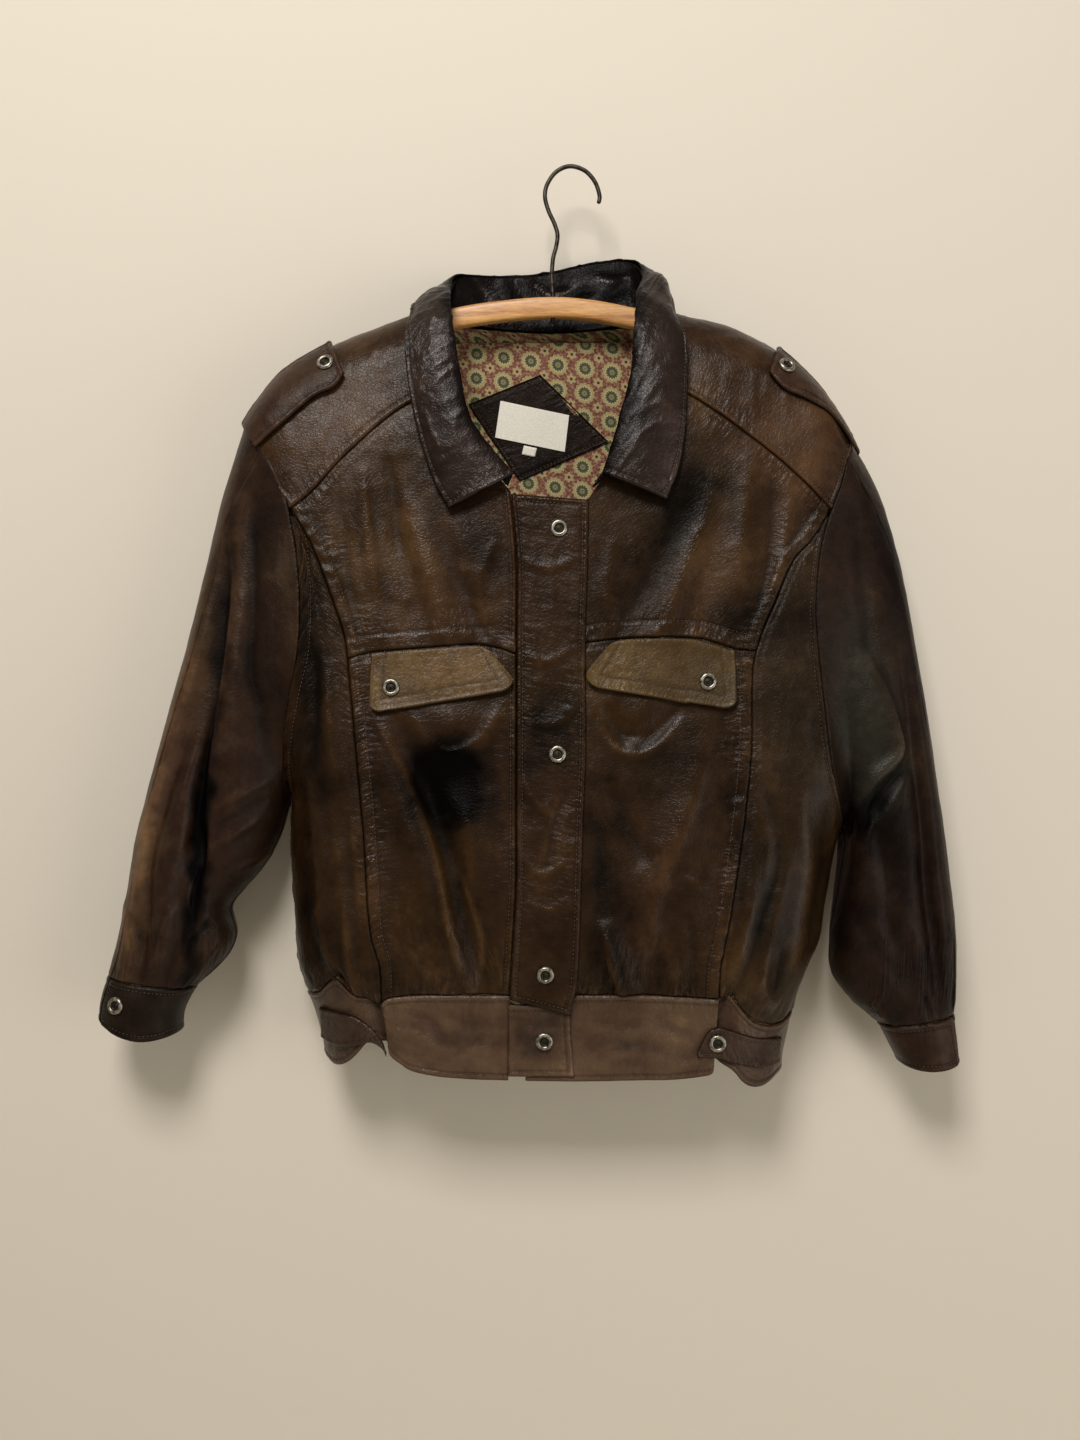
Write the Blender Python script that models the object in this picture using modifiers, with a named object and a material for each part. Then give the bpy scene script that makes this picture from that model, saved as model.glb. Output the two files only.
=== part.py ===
"""A worn leather blouson jacket on a wooden hanger, built panel by panel.

Metres, +Z up.  +X is the viewer's right, the front faces -Y and the wall is at +Y.
The origin is the inside of the hook's crown, where the hanger is held.
The tables are in millimetres and mm() turns them into metres.
"""
import math

import bmesh
import bpy
from mathutils import Matrix, Vector

# ---------------------------------------------------------------- driving sizes (mm)
CLOTH = 1.6            # wall of one leather panel
COLLAR_WALL = 2.2      # two layers of leather
LINING_WALL = 1.0
SEAM = 0.45            # air between two panels at a seam
LIFT = 0.9             # air between a panel and what lies on it
WAIST_Z = -714.0       # seam between body and waistband
CHEST_Z = -436.0       # seam across the fronts, under the flaps
YOKE_BACK_Z = -250.0   # seam across the back, below the shoulders
SHOULDER_SEAM_DROP = 5.0   # the shoulder seam lies this far down behind the ridge
RIDGE_ROUND = 45.0     # how fast the shoulders round over
SIDE_ROUND = 62.0      # how fast the sides round over
PLACKET_UNDERLAP = 14.0    # how far the right front runs under the placket's left edge
BAR_THICK = 12.0
BAR_TALL = 18.0
WIRE_RADIUS = 1.9
EPAULETTE_LIFT = 1.3   # air between the yoke and the epaulette
ROLL_ROUND = 3.8       # from the collar stand's top edge out to the fall's
FALL_BULGE = 4.5       # how far the fall bows outwards

# ---------------------------------------------------------------- form tables (mm)
# Shoulder ridge, seen from the front: x, z
RIDGE = [(-316, -300), (-296, -250), (-287, -232), (-275, -213), (-262, -196), (-247, -180),
         (-227, -167), (-204, -155), (-170, -142), (-141, -132), (-122, -127), (-105, -121),
         (-60, -113), (-20, -110), (20, -112), (60, -118), (80, -124), (95, -129), (134, -139),
         (170, -156), (184, -165), (200, -179), (215, -195), (228, -213), (239, -231), (252, -250),
         (274, -300)]
# Side of the body; above the underarm it is where the side would be without a sleeve: z, left, right
SIDES = [(-810, -208, 182), (-769, -216, 188), (-735, -225, 195), (-717, -231, 201),
         (-697, -237, 209), (-674, -239, 218), (-647, -241, 222), (-616, -243, 227), (-600, -244, 230),
         (-576, -244, 237), (-549, -244, 246), (-530, -252, 251), (-500, -263, 255), (-450, -272, 257),
         (-400, -278, 258), (-345, -288, 260), (-300, -294, 262), (-255, -300, 264), (-225, -306, 266),
         (-100, -310, 270)]
# Depth of the body from its middle plane: z, front, back
DEPTHS = [(-810, 60, 36), (-770, 63, 37), (-735, 66, 38), (-712, 70, 38), (-680, 75, 38), (-640, 74, 38),
          (-550, 66, 38), (-450, 58, 38), (-350, 52, 37), (-250, 47, 35), (-180, 41, 31), (-100, 36, 27)]
# Curved seam between front and side front: z, left x, right x
FRONT_SEAM = [(-790, -152, 118), (-724, -158, 122), (-690, -159, 123), (-664, -166, 128),
              (-637, -169, 133), (-581, -173, 142), (-512, -180, 150), (-443, -187, 152),
              (-418, -190, 158), (-390, -199, 170), (-350, -214, 188), (-332, -222, 204),
              (-307, -237, 219)]
# Armhole, the same in front and behind: z, left x, right x
ARMHOLE = [(-576, -243, 236), (-549, -243, 226), (-519, -245, 218), (-469, -239, 212),
           (-430, -231, 208), (-389, -229, 206), (-345, -232, 210), (-317, -237, 217), (-302, -240, 223),
           (-282, -247, 231), (-257, -261, 237), (-240, -274, 245), (-227, -284, 252)]
ARMHOLE_TOP = {"left": -284.0, "right": 245.0}      # x where the armhole crosses the ridge
UNDERARM_Z = {"left": -549.0, "right": -576.0}
# Placket edges: z, left x, right x
PLACKET = [(-790, -53, 3), (-729, -51, -1), (-706, -51, 4), (-676, -49, 6), (-619, -46, 8),
           (-558, -46, 10), (-512, -46, 12), (-414, -46, 12), (-355, -46, 14), (-294, -51, 15)]
# Front yoke seam: x, z on each side
YOKE_LEFT = [(-237, -307), (-220, -293), (-196, -266), (-171, -242), (-156, -229), (-138, -217), (-107, -204)]
YOKE_RIGHT = [(64, -194), (98, -208), (125, -225), (145, -240), (173, -262), (198, -285), (219, -307)]
# Neck edge of the body in front, from the top of the placket to the ridge: x, z
NECK_LEFT = [(-51, -294), (-92, -244), (-107, -204), (-118, -165), (-122, -127)]
NECK_RIGHT = [(15, -301), (48, -244), (64, -194), (73, -165), (80, -124)]
# Back neck edge: x, z
NECK_BACK = [(-140, -137), (-122, -132), (-105, -133), (-62, -136), (-20, -138), (22, -136),
             (66, -132), (80, -130), (95, -134)]
# Sleeve sections from armhole to wrist: outer x, outer z, inner x, inner z, bow, front, back, middle y
LEFT_SLEEVE = [(-302, -284, -249, -566, 19, 46, 36, -1), (-317, -354, -254, -584, 12, 46, 36, -2),
               (-332, -418, -262, -602, 6, 46, 35, -3), (-349, -480, -272, -618, 2, 45, 34, -4),
               (-365, -538, -286, -634, 0, 44, 33, -5), (-378, -590, -297, -650, 0, 43, 32, -6),
               (-387, -645, -303, -668, 0, 41, 31, -7), (-394, -680, -307, -692, 0, 38, 30, -8),
               (-401, -706, -326, -717, 0, 35, 29, -9)]
RIGHT_SLEEVE = [(270, -288, 242, -592, -19, 46, 36, -1), (288, -352, 240, -608, -12, 46, 36, -2),
                (299, -420, 236, -630, -6, 46, 35, -3), (310, -484, 231, -655, -2, 45, 34, -4),
                (320, -545, 228, -680, 0, 44, 33, -5), (328, -602, 229, -705, 0, 43, 32, -6),
                (334, -656, 243, -726, 0, 41, 31, -7), (335, -700, 258, -739, 0, 37, 30, -8),
                (333, -739, 269, -749, 0, 33, 28, -9)]
# Cuff sections below the wrist seam, same columns
LEFT_CUFF = [(-401, -706, -326, -717, 0, 35, 29, -9), (-407, -727, -337, -739, 0, 36, 30, -9),
             (-411, -748, -348, -759, 0, 35, 29, -9)]
RIGHT_CUFF = [(333, -739, 269, -749, 0, 33, 28, -9), (335, -760, 279, -768, 0, 33, 28, -9),
              (337, -780, 287, -784, 0, 32, 27, -9)]
SLEEVE_ROUND = 2.4      # superellipse exponent of a sleeve section
# Largest folds of the front and the back: x, z at one end, x, z at the other, half-width, height
FRONT_FOLDS = [(-165, -482, -84, -716, 15, 5.0), (-146, -480, -62, -716, 13, -4.5),
               (24, -474, 52, -506, 10, -4.0), (50, -506, 98, -472, 10, -4.0),
               (26, -650, 45, -718, 9, 4.5), (60, -665, 66, -718, 12, -3.0),
               (-150, -262, -132, -425, 20, -3.0), (124, -236, 108, -425, 20, -3.0),
               (-74, -655, -80, -718, 9, -3.5), (100, -560, 96, -718, 16, 3.5)]
BACK_FOLDS = [(-120, -300, -92, -716, 26, 3.0), (84, -320, 112, -716, 26, 3.0),
              (0, -270, -12, -716, 30, -3.0), (-180, -560, -150, -716, 16, -2.5),
              (40, -600, 46, -716, 16, 2.5)]
# Creases along a sleeve's front: section and place across it at each end, half-width, share of depth
SLEEVE_CREASES = [(1.5, 0.16, 9.5, 0.34, 0.07, 0.24), (3.0, 0.62, 7.5, 0.55, 0.08, 0.12)]
# Collar sections round the neck: seam x y z, roll x y z, edge x y z
COLLAR = [(-54, -53, -289, -50, -57, -281, -103, -59, -309),
          (-92, -51, -242, -85, -58, -237, -117, -58, -283),
          (-105, -48, -203, -95, -55, -197, -131, -56, -238),
          (-115, -44, -164, -101, -51, -158, -138, -54, -200),
          (-120, -31, -139, -105, -36, -130, -141, -50, -168),
          (-121, -17, -129, -106, -19, -116, -139, -36, -143),
          (-120, 0, -123, -106, -2, -108, -137, -8, -124),
          (-106, 18, -129, -98, 19, -92, -128, 34, -138),
          (-62, 26, -135.4, -58, 29, -88, -74, 40, -150),
          (-20, 27.3, -137.5, -20, 32, -87, -21, 41, -156),
          (22, 26.5, -135.5, 19, 30, -80, 32, 41, -150),
          (65, 17, -128, 58, 21, -80, 82.5, 35.5, -135.5),
          (78, 0, -121, 65, -2, -98, 88.5, -8, -118.5),
          (77.5, -18.5, -128, 62, -20, -112, 91, -36, -141),
          (76, -33, -140, 58, -37, -127, 98, -50, -166),
          (69.5, -45.5, -164, 55, -52, -158, 98, -54, -205),
          (62, -48, -200, 52, -55, -197, 96, -57, -240),
          (50, -51, -242, 42, -58, -237, 91, -58, -272),
          (19, -54, -291, 29, -58, -281, 80, -60, -301)]
# Pocket flaps: x left, x right, top z at each end, bottom z at each end, corner
FLAPS = {"left": (-168, -50, -430, -427, -481, -461, 11), "right": (12, 137, -420, -427, -458, -478, 12)}
# Epaulettes, from the armhole to the button end: lower x, lower z, upper x, upper z
EPAULETTE_LEFT = [(-266, -255, -283, -230), (-243, -235, -270, -209), (-218, -213, -250, -186),
                  (-201, -205, -227, -170), (-192, -193, -206, -160)]
EPAULETTE_RIGHT = [(245, -259, 243, -240), (221, -229, 231, -220), (197, -214, 214, -197),
                   (180, -206, 197, -179), (167, -192, 178, -164)]
# Waist tabs: x front end, x side end, top z, bottom z at each end
TABS = {"left": (-156, -212, -757, -730, -772, -744), "right": (108, 178, -744, -754, -772, -778)}
# Hanger bar, top edge where it shows: x, z
BAR_TOP = [(-206, -161), (-170, -148), (-141, -138), (-122, -131), (-105, -124.5), (-62, -117.5),
           (-15, -114), (18, -116.5), (46, -121.5), (80, -129), (95, -134), (134, -145), (168, -160)]
# Hook wire's centre line, from the open end to the stem: x, z
HOOK = [(25, -31), (26, -24), (22, -12), (13, -2), (0, 1.9), (-12, -3), (-20, -14), (-22, -25),
        (-19, -37), (-14, -48), (-11, -58), (-12, -68), (-15, -80), (-16, -95), (-15, -113), (-15, -136)]
# Snaps: name, x, z, which panel they sit on
SNAPS = [("snap_placket_top", -10, -324, "placket"), ("snap_placket_middle", -12, -514, "placket"),
         ("snap_placket_low", -22, -696, "placket"), ("snap_band", -22, -753, "overlap"),
         ("snap_flap_L", -151, -458, "flap"), ("snap_flap_R", 114, -453, "flap"),
         ("snap_epaulette_L", -209, -182, "epaulette"), ("snap_epaulette_R", 183, -184, "epaulette"),
         ("snap_tab_R", 121, -755, "tab")]
SNAP_PROFILE = [(0, 1.1), (3.4, 1.1), (4.3, 2.3), (7.4, 1.0), (7.4, 0), (0, 0)]

# ---------------------------------------------------------------- finishes
FINISHES = {"leather_brown": ((0.060, 0.035, 0.022), 0.48, 0.0),
            "leather_olive": ((0.105, 0.060, 0.026), 0.50, 0.0),
            "leather_dark": ((0.020, 0.014, 0.012), 0.55, 0.0),
            "lining_cloth": ((0.25, 0.09, 0.055), 0.75, 0.0),
            "label_cloth": ((0.72, 0.70, 0.66), 0.80, 0.0),
            "snap_metal": ((0.55, 0.53, 0.50), 0.32, 1.0),
            "hanger_wood": ((0.56, 0.27, 0.08), 0.45, 0.0),
            "hook_steel": ((0.12, 0.11, 0.10), 0.40, 1.0)}


def mm(value):
    return value * 0.001


def clearScene():
    for item in list(bpy.data.objects):
        bpy.data.objects.remove(item, do_unlink=True)


def finish(name):
    """The material of that name, made once."""
    if name in bpy.data.materials:
        return bpy.data.materials[name]
    colour, roughness, metallic = FINISHES[name]
    material = bpy.data.materials.new(name)
    material.use_nodes = True
    shader = material.node_tree.nodes["Principled BSDF"]
    shader.inputs["Base Color"].default_value = (*colour, 1.0)
    shader.inputs["Roughness"].default_value = roughness
    shader.inputs["Metallic"].default_value = metallic
    material.diffuse_color = (*colour, 1.0)
    return material


def addObject(name, data, finishName):
    data.materials.clear()
    data.materials.append(finish(finishName))
    item = bpy.data.objects.new(name, data)
    bpy.data.collections["leather_jacket"].objects.link(item)
    return item


def read(table, at, column=1):
    """Smooth value of a table's column where its first column is at."""
    rows = table if table[0][0] <= table[-1][0] else table[::-1]
    if at <= rows[0][0]:
        return rows[0][column]
    if at >= rows[-1][0]:
        return rows[-1][column]
    i = max(k for k in range(len(rows) - 1) if rows[k][0] <= at)

    def slope(k):
        low = max(k - 1, 0)
        high = min(k + 1, len(rows) - 1)
        return (rows[high][column] - rows[low][column]) / (rows[high][0] - rows[low][0])

    step = rows[i + 1][0] - rows[i][0]
    t = (at - rows[i][0]) / step
    a = rows[i][column]
    b = rows[i + 1][column]
    return ((2 * t ** 3 - 3 * t ** 2 + 1) * a + (t ** 3 - 2 * t ** 2 + t) * step * slope(i)
            + (3 * t ** 2 - 2 * t ** 3) * b + (t ** 3 - t ** 2) * step * slope(i + 1))


def walk(points, t):
    """Point at fraction t along a smooth line through a short list of points."""
    place = min(max(t, 0.0), 1.0) * (len(points) - 1)
    i = min(int(place), len(points) - 2)
    f = place - i
    a = points[max(i - 1, 0)]
    b = points[i]
    c = points[i + 1]
    d = points[min(i + 2, len(points) - 1)]
    return tuple(0.5 * (2 * q + (r - p) * f + (2 * p - 5 * q + 4 * r - s) * f * f
                        + (3 * q - p - 3 * r + s) * f ** 3) for p, q, r, s in zip(a, b, c, d))


def blend(a, b, t):
    return a + (b - a) * t


# ---------------------------------------------------------------- the body's form
def rounding(distance, reach):
    """0 at an edge, 1 once the surface is reach away from it; squared roundness."""
    t = min(max(distance / reach, 0.0), 1.0)
    return t * (2.0 - t)


def relief(folds, x, z):
    """Height (mm) that the folds add at x, z; each fades out at its ends and to its sides."""
    total = 0.0
    for x0, z0, x1, z1, width, height in folds:
        alongX, alongZ = x1 - x0, z1 - z0
        length = math.hypot(alongX, alongZ)
        t = ((x - x0) * alongX + (z - z0) * alongZ) / length ** 2
        off = ((x - x0) * alongZ - (z - z0) * alongX) / length
        if 0.0 < t < 1.0:
            total += height * math.sin(math.pi * t) ** 0.7 * math.exp(-(off / width) ** 2)
    return total


def fullness(x, z, column):
    """Square of the body's depth (mm) at x, z; column 1 is the front and 2 the back."""
    depth = read(DEPTHS, z, column) + relief(FRONT_FOLDS if column == 1 else BACK_FOLDS, x, z)
    over = rounding(read(RIDGE, x) - z, RIDGE_ROUND)
    left = rounding(x - read(SIDES, z, 1), SIDE_ROUND)
    right = rounding(read(SIDES, z, 2) - x, SIDE_ROUND)
    return depth * depth * over * left * right


def bodyPoint(x, z, behind=False):
    """Point (mm) of the body's outer face."""
    depth = math.sqrt(max(fullness(x, z, 2 if behind else 1), 0.0))
    return Vector((x, depth if behind else -depth, z))


def bodyNormal(point, behind=None):
    """Outward direction of the body at one of its points (mm)."""
    if behind is None:
        behind = point.y > 0
    column = 2 if behind else 1
    step = 0.5
    across = fullness(point.x + step, point.z, column) - fullness(point.x - step, point.z, column)
    up = fullness(point.x, point.z + step, column) - fullness(point.x, point.z - step, column)
    return Vector((-across / (2 * step), 2 * point.y, -up / (2 * step))).normalized()


# ---------------------------------------------------------------- one cloth piece
def clothPiece(name, place, columns, rows, finishName, normalOf, wall=CLOTH, lift=0.0):
    """A wall of cloth: place(u, v) gives its outer face in mm, before lift moves it out."""
    gap = SEAM / 2
    us = columns if isinstance(columns, list) else [i / columns for i in range(columns + 1)]
    vs = rows if isinstance(rows, list) else [i / rows for i in range(rows + 1)]
    bm = bmesh.new()
    bmesh.ops.create_grid(bm, x_segments=len(us) - 1, y_segments=len(vs) - 1, size=0.5)
    outer = {v: (round((v.co.x + 0.5) * (len(us) - 1)), round((v.co.y + 0.5) * (len(vs) - 1)))
             for v in bm.verts}
    made = bmesh.ops.extrude_face_region(bm, geom=bm.faces[:], use_keep_orig=True)
    inner = [v for v in made["geom"] if isinstance(v, bmesh.types.BMVert)]
    cells = {v: (round((v.co.x + 0.5) * (len(us) - 1)), round((v.co.y + 0.5) * (len(vs) - 1)))
             for v in inner}
    points = {}
    for i, u in enumerate(us):
        for j, v in enumerate(vs):
            p = place(u, v)
            n = normalOf(p, u, v)
            if i in (0, len(us) - 1):
                p = p + (place(us[1] if i == 0 else us[-2], v) - p).normalized() * gap
            if j in (0, len(vs) - 1):
                p = p + (place(u, vs[1] if j == 0 else vs[-2]) - p).normalized() * gap
            points[i, j] = (p + n * lift, p + n * (lift - wall))
    for vert, cell in outer.items():
        vert.co = points[cell][0] * 0.001
    for vert, cell in cells.items():
        vert.co = points[cell][1] * 0.001
    bmesh.ops.triangulate(bm, faces=bm.faces[:])
    bmesh.ops.recalc_face_normals(bm, faces=bm.faces[:])
    if bm.calc_volume(signed=True) < 0:
        bmesh.ops.reverse_faces(bm, faces=bm.faces[:])
    mesh = bpy.data.meshes.new(name)
    bm.to_mesh(mesh)
    bm.free()
    return addObject(name, mesh, finishName)


def onBody(point, u=0.0, v=0.0):
    return bodyNormal(point)


# ---------------------------------------------------------------- rows shared at seams
def column(side):
    return 1 if side == "left" else 2


def sign(side):
    return -1 if side == "left" else 1


def tag(side):
    return "L" if side == "left" else "R"


def flankRows(side):
    """Heights of the rows from the waist seam to the underarm, and on to the chest seam."""
    under = UNDERARM_Z[side]
    lower = [blend(WAIST_Z, under, k / 5) for k in range(6)]
    upper = [blend(under, CHEST_Z, t) for t in (0.07, 0.25, 0.5, 0.75, 1.0)]
    return lower + upper


def chestRows(side):
    top = YOKE_LEFT[0][1] if side == "left" else YOKE_RIGHT[-1][1]
    return [blend(CHEST_Z, top, k / 7) for k in range(8)]


def ridgeTop(side):
    x = ARMHOLE_TOP[side]
    return read(RIDGE, x)


def yokeEdgeRows(side):
    """Heights down the yoke's armhole edge, from the ridge to the front yoke seam."""
    top = ridgeTop(side)
    low = chestRows(side)[-1]
    return [top + (low - top) * (k / 5) ** 2 for k in range(6)]


def shoulderSeamEnd(side):
    """Height where the shoulder seam, a set drop behind the ridge, meets the armhole."""
    low, high = ridgeTop(side) - 4 * SHOULDER_SEAM_DROP, ridgeTop(side)
    for _ in range(30):
        middle = (low + high) / 2
        if read(RIDGE, read(ARMHOLE, middle, column(side))) - middle > SHOULDER_SEAM_DROP:
            low = middle
        else:
            high = middle
    return low


def backEdgeRows(side):
    """Heights down the back yoke's armhole edge, from the ridge to the back yoke seam."""
    seam = shoulderSeamEnd(side)
    return [ridgeTop(side), seam, blend(seam, YOKE_BACK_Z, 0.4), YOKE_BACK_Z]


# ---------------------------------------------------------------- fronts, sides, back, yokes
def frontUpper(side):
    c = column(side)
    neck = NECK_LEFT[:3] if side == "left" else NECK_RIGHT[:3]
    seam = YOKE_LEFT if side == "left" else YOKE_RIGHT[::-1]
    rows = chestRows(side)
    corner = 4 / 7

    def closing(z):
        if side == "left":
            return read(PLACKET, z, 1)
        return read(PLACKET, z, 1) + PLACKET_UNDERLAP

    def outerEdge(v):
        z = blend(rows[0], rows[-1], v)
        return (read(FRONT_SEAM, z, c), z)

    def innerEdge(v):
        foot = neck[0]
        if v <= corner:
            z = blend(rows[0], foot[1], v / corner)
            x = closing(z)
            if side == "right":
                x = blend(x, foot[0], max(0.0, v / corner - 0.75) * 4)
            return (x, z)
        return walk(neck, (v - corner) / (1 - corner))

    def topEdge(u):
        return walk(seam, u)

    def place(u, v):
        a, b = outerEdge(v), innerEdge(v)
        low0, low1 = outerEdge(0), innerEdge(0)
        top0, top1 = outerEdge(1), innerEdge(1)
        top = topEdge(u)
        x, z = (blend(a[k], b[k], u) + v ** 2 * (top[k] - blend(top0[k], top1[k], u)) for k in (0, 1))
        z += (1 - v) * (rows[0] - blend(low0[1], low1[1], u))
        return bodyPoint(x, z)

    clothPiece("front_upper_" + tag(side), place, 8, 7, "leather_brown", normalOf=onBody)


def frontLower(side):
    c = column(side)
    rows = flankRows(side)
    span = rows[-1] - rows[0]
    stops = [(z - rows[0]) / span for z in rows]

    def place(u, v):
        z = rows[0] + span * v
        edge = read(PLACKET, z, 1)
        if side == "right":
            edge += PLACKET_UNDERLAP
        return bodyPoint(blend(read(FRONT_SEAM, z, c), edge, u), z)

    clothPiece("front_lower_" + tag(side), place, 8, stops, "leather_brown", normalOf=onBody)


def sideFront(side):
    c = column(side)
    rows = flankRows(side) + chestRows(side)[1:]
    rows[-1] = rows[-1] - 6.0      # the tip stops just short of the yoke
    low, high = rows[0], rows[-1]
    stops = [(z - low) / (high - low) for z in rows]

    def place(u, v):
        z = blend(low, high, v)
        seam = read(FRONT_SEAM, z, c)
        edge = read(SIDES, z, c) if z <= UNDERARM_Z[side] else read(ARMHOLE, z, c)
        return bodyPoint(edge + (seam - edge) * (1 - math.cos(u * math.pi / 2)), z)

    clothPiece("side_front_" + tag(side), place, 5, stops, "leather_brown", normalOf=onBodyFront)


def onBodyFront(point, u=0.0, v=0.0):
    return bodyNormal(point, behind=False)


def onBodyBack(point, u=0.0, v=0.0):
    return bodyNormal(point, behind=True)


def backPanel():
    """One piece from the waist seam to the back yoke seam, and from side seam to side seam."""
    left = flankRows("left")
    right = flankRows("right")
    top = [blend(CHEST_Z, YOKE_BACK_Z, k / 6) for k in range(1, 7)]
    lefts = left + top
    rights = right + top
    count = len(lefts) - 1

    def edge(side, v):
        rows = lefts if side == "left" else rights
        i = min(int(v * count), count - 1)
        z = blend(rows[i], rows[i + 1], v * count - i)
        under = z <= UNDERARM_Z[side] + 0.01
        return (read(SIDES if under else ARMHOLE, z, column(side)), z)

    def place(u, v):
        a, b = edge("left", v), edge("right", v)
        f = (1 - math.cos(math.pi * u)) / 2
        return bodyPoint(blend(a[0], b[0], f), blend(a[1], b[1], f), behind=True)

    clothPiece("back_panel", place, 14, count, "leather_brown", normalOf=onBodyBack)


def backYoke():
    """The back's top piece, from armhole to armhole, with the neck edge in its middle."""
    reach = {s: backEdgeRows(s) for s in ("left", "right")}

    def top(x):
        if NECK_BACK[0][0] < x < NECK_BACK[-1][0]:
            return read(NECK_BACK, x)
        return read(RIDGE, x) - SHOULDER_SEAM_DROP - SEAM

    def place(u, v):
        heights = [blend(YOKE_BACK_Z, reach[s][1], v) for s in ("left", "right")]
        x = blend(read(ARMHOLE, heights[0], 1), read(ARMHOLE, heights[1], 2), u)
        return bodyPoint(x, blend(YOKE_BACK_Z, top(x), v), behind=True)

    stops = [0, 0.4, 0.62, 0.78, 0.9, 1.0]
    clothPiece("back_yoke", place, 16, stops, "leather_brown", normalOf=onBodyBack)


def yoke(side):
    """Shoulder piece: front yoke seam, over the ridge, to the shoulder seam behind it."""
    seam = YOKE_LEFT[::-1] if side == "left" else YOKE_RIGHT
    neck = (NECK_LEFT if side == "left" else NECK_RIGHT)[-1]
    fold = 5 / 7

    def place(u, v):
        low = walk(seam, u)
        xTop = blend(neck[0], ARMHOLE_TOP[side], u)
        zTop = read(RIDGE, xTop)
        if v <= fold:
            share = (1 - v / fold) ** 2
            z = blend(zTop, low[1], share)
            x = blend(xTop, low[0], share)
            if u > 0.999:
                x = read(ARMHOLE, z, column(side))
            return bodyPoint(x, z)
        share = ((v - fold) / (1 - fold)) ** 2
        if u < 0.999 or share == 0:
            return bodyPoint(xTop, zTop - SHOULDER_SEAM_DROP * share, behind=True)
        z = blend(zTop, shoulderSeamEnd(side), share)
        return bodyPoint(read(ARMHOLE, z, column(side)), z, behind=True)

    def normal(point, u, v):
        return bodyNormal(point, behind=v > fold)

    clothPiece("yoke_" + tag(side), place, 7, 7, "leather_brown", normalOf=normal)


# ---------------------------------------------------------------- sleeves and cuffs
def crease(k, s):
    """Share of the front depth that the creases take away at section k, place s."""
    total = 0.0
    for k0, s0, k1, s1, width, share in SLEEVE_CREASES:
        t = (k - k0) / (k1 - k0)
        if 0.0 < t < 1.0:
            total += share * math.sin(math.pi * t) * math.exp(-((s - blend(s0, s1, t)) / width) ** 2)
    return total


def sectionPoint(row, s, behind, section=0):
    """Point of a sleeve section at fraction s from its outer to its inner edge."""
    outerX, outerZ, innerX, innerZ, bow, front, back, middle = row
    round_ = (1 - abs(2 * s - 1) ** SLEEVE_ROUND) ** (1 / SLEEVE_ROUND)
    if not behind:
        round_ *= 1 - crease(section, s)
    x = blend(outerX, innerX, s) + bow * math.sin(math.pi * s)
    depth = back if behind else -front
    return Vector((x, middle + depth * round_, blend(outerZ, innerZ, s)))


def armholeRing(side):
    """Stations round the armhole: down the front edge from the ridge, then up the back edge."""
    top = ridgeTop(side)
    under = UNDERARM_Z[side]
    front = yokeEdgeRows(side) + chestRows(side)[-2::-1] + flankRows(side)[-2:4:-1]
    topBack = [blend(CHEST_Z, YOKE_BACK_Z, k / 6) for k in range(6, -1, -1)]
    back = backEdgeRows(side)[1:-1] + topBack + flankRows(side)[-2:5:-1]
    share = [[(top - z) / (top - under) for z in rows] for rows in (front, back)]
    return [(s, False) for s in share[0]] + [(s, True) for s in share[1][::-1]], len(front) - 1


def sleevePoint(side, table, k, s, behind):
    """Point of sleeve section k; section 0 is the armhole itself."""
    if k > 0:
        return sectionPoint(table[k - 1], s, behind, k)
    z = blend(ridgeTop(side), UNDERARM_Z[side], s)
    if s > 0.999:
        return Vector((read(SIDES, z, column(side)), 0.0, z))
    if s <= 0:
        return Vector((ARMHOLE_TOP[side], 0.0, z))
    return bodyPoint(read(ARMHOLE, z, column(side)), z, behind)


def sleeve(side):
    """Two pieces: the front one, and the back one that wraps over the outer edge."""
    table = LEFT_SLEEVE if side == "left" else RIGHT_SLEEVE
    ring, underarm = armholeRing(side)
    sections = len(table)
    seamStation = 3
    runs = {"front": (seamStation, underarm), "back": (underarm, len(ring) + seamStation)}

    def grid(k, station):
        low = min(int(k), sections - 1)
        i = int(math.floor(station))
        corners = [sleevePoint(side, table, low + dk, *ring[(i + di) % len(ring)])
                   for dk in (0, 1) for di in (0, 1)]
        near = corners[0].lerp(corners[1], station - i)
        far = corners[2].lerp(corners[3], station - i)
        return near.lerp(far, k - low)

    def outwards(k, station):
        """Direction across the sleeve, taken over the neighbouring cells."""
        along = grid(min(k + 0.999, sections), station) - grid(max(k - 0.999, 0), station)
        across = grid(k, station + 0.999) - grid(k, station - 0.999)
        own = along.cross(across).normalized() * -sign(side)
        if k > 0.001 or abs(station - underarm) < 0.5 or abs(station % len(ring)) < 0.5:
            return own
        return (own + bodyNormal(grid(k, station))).normalized()

    for label, (first, last) in runs.items():
        def place(u, v, first=first, last=last):
            return grid(u * sections, first + v * (last - first))

        def normal(point, u, v, first=first, last=last):
            return outwards(u * sections, round(first + v * (last - first)))

        clothPiece("sleeve_" + label + "_" + tag(side), place, sections, last - first, "leather_brown",
                   normalOf=normal)


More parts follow.
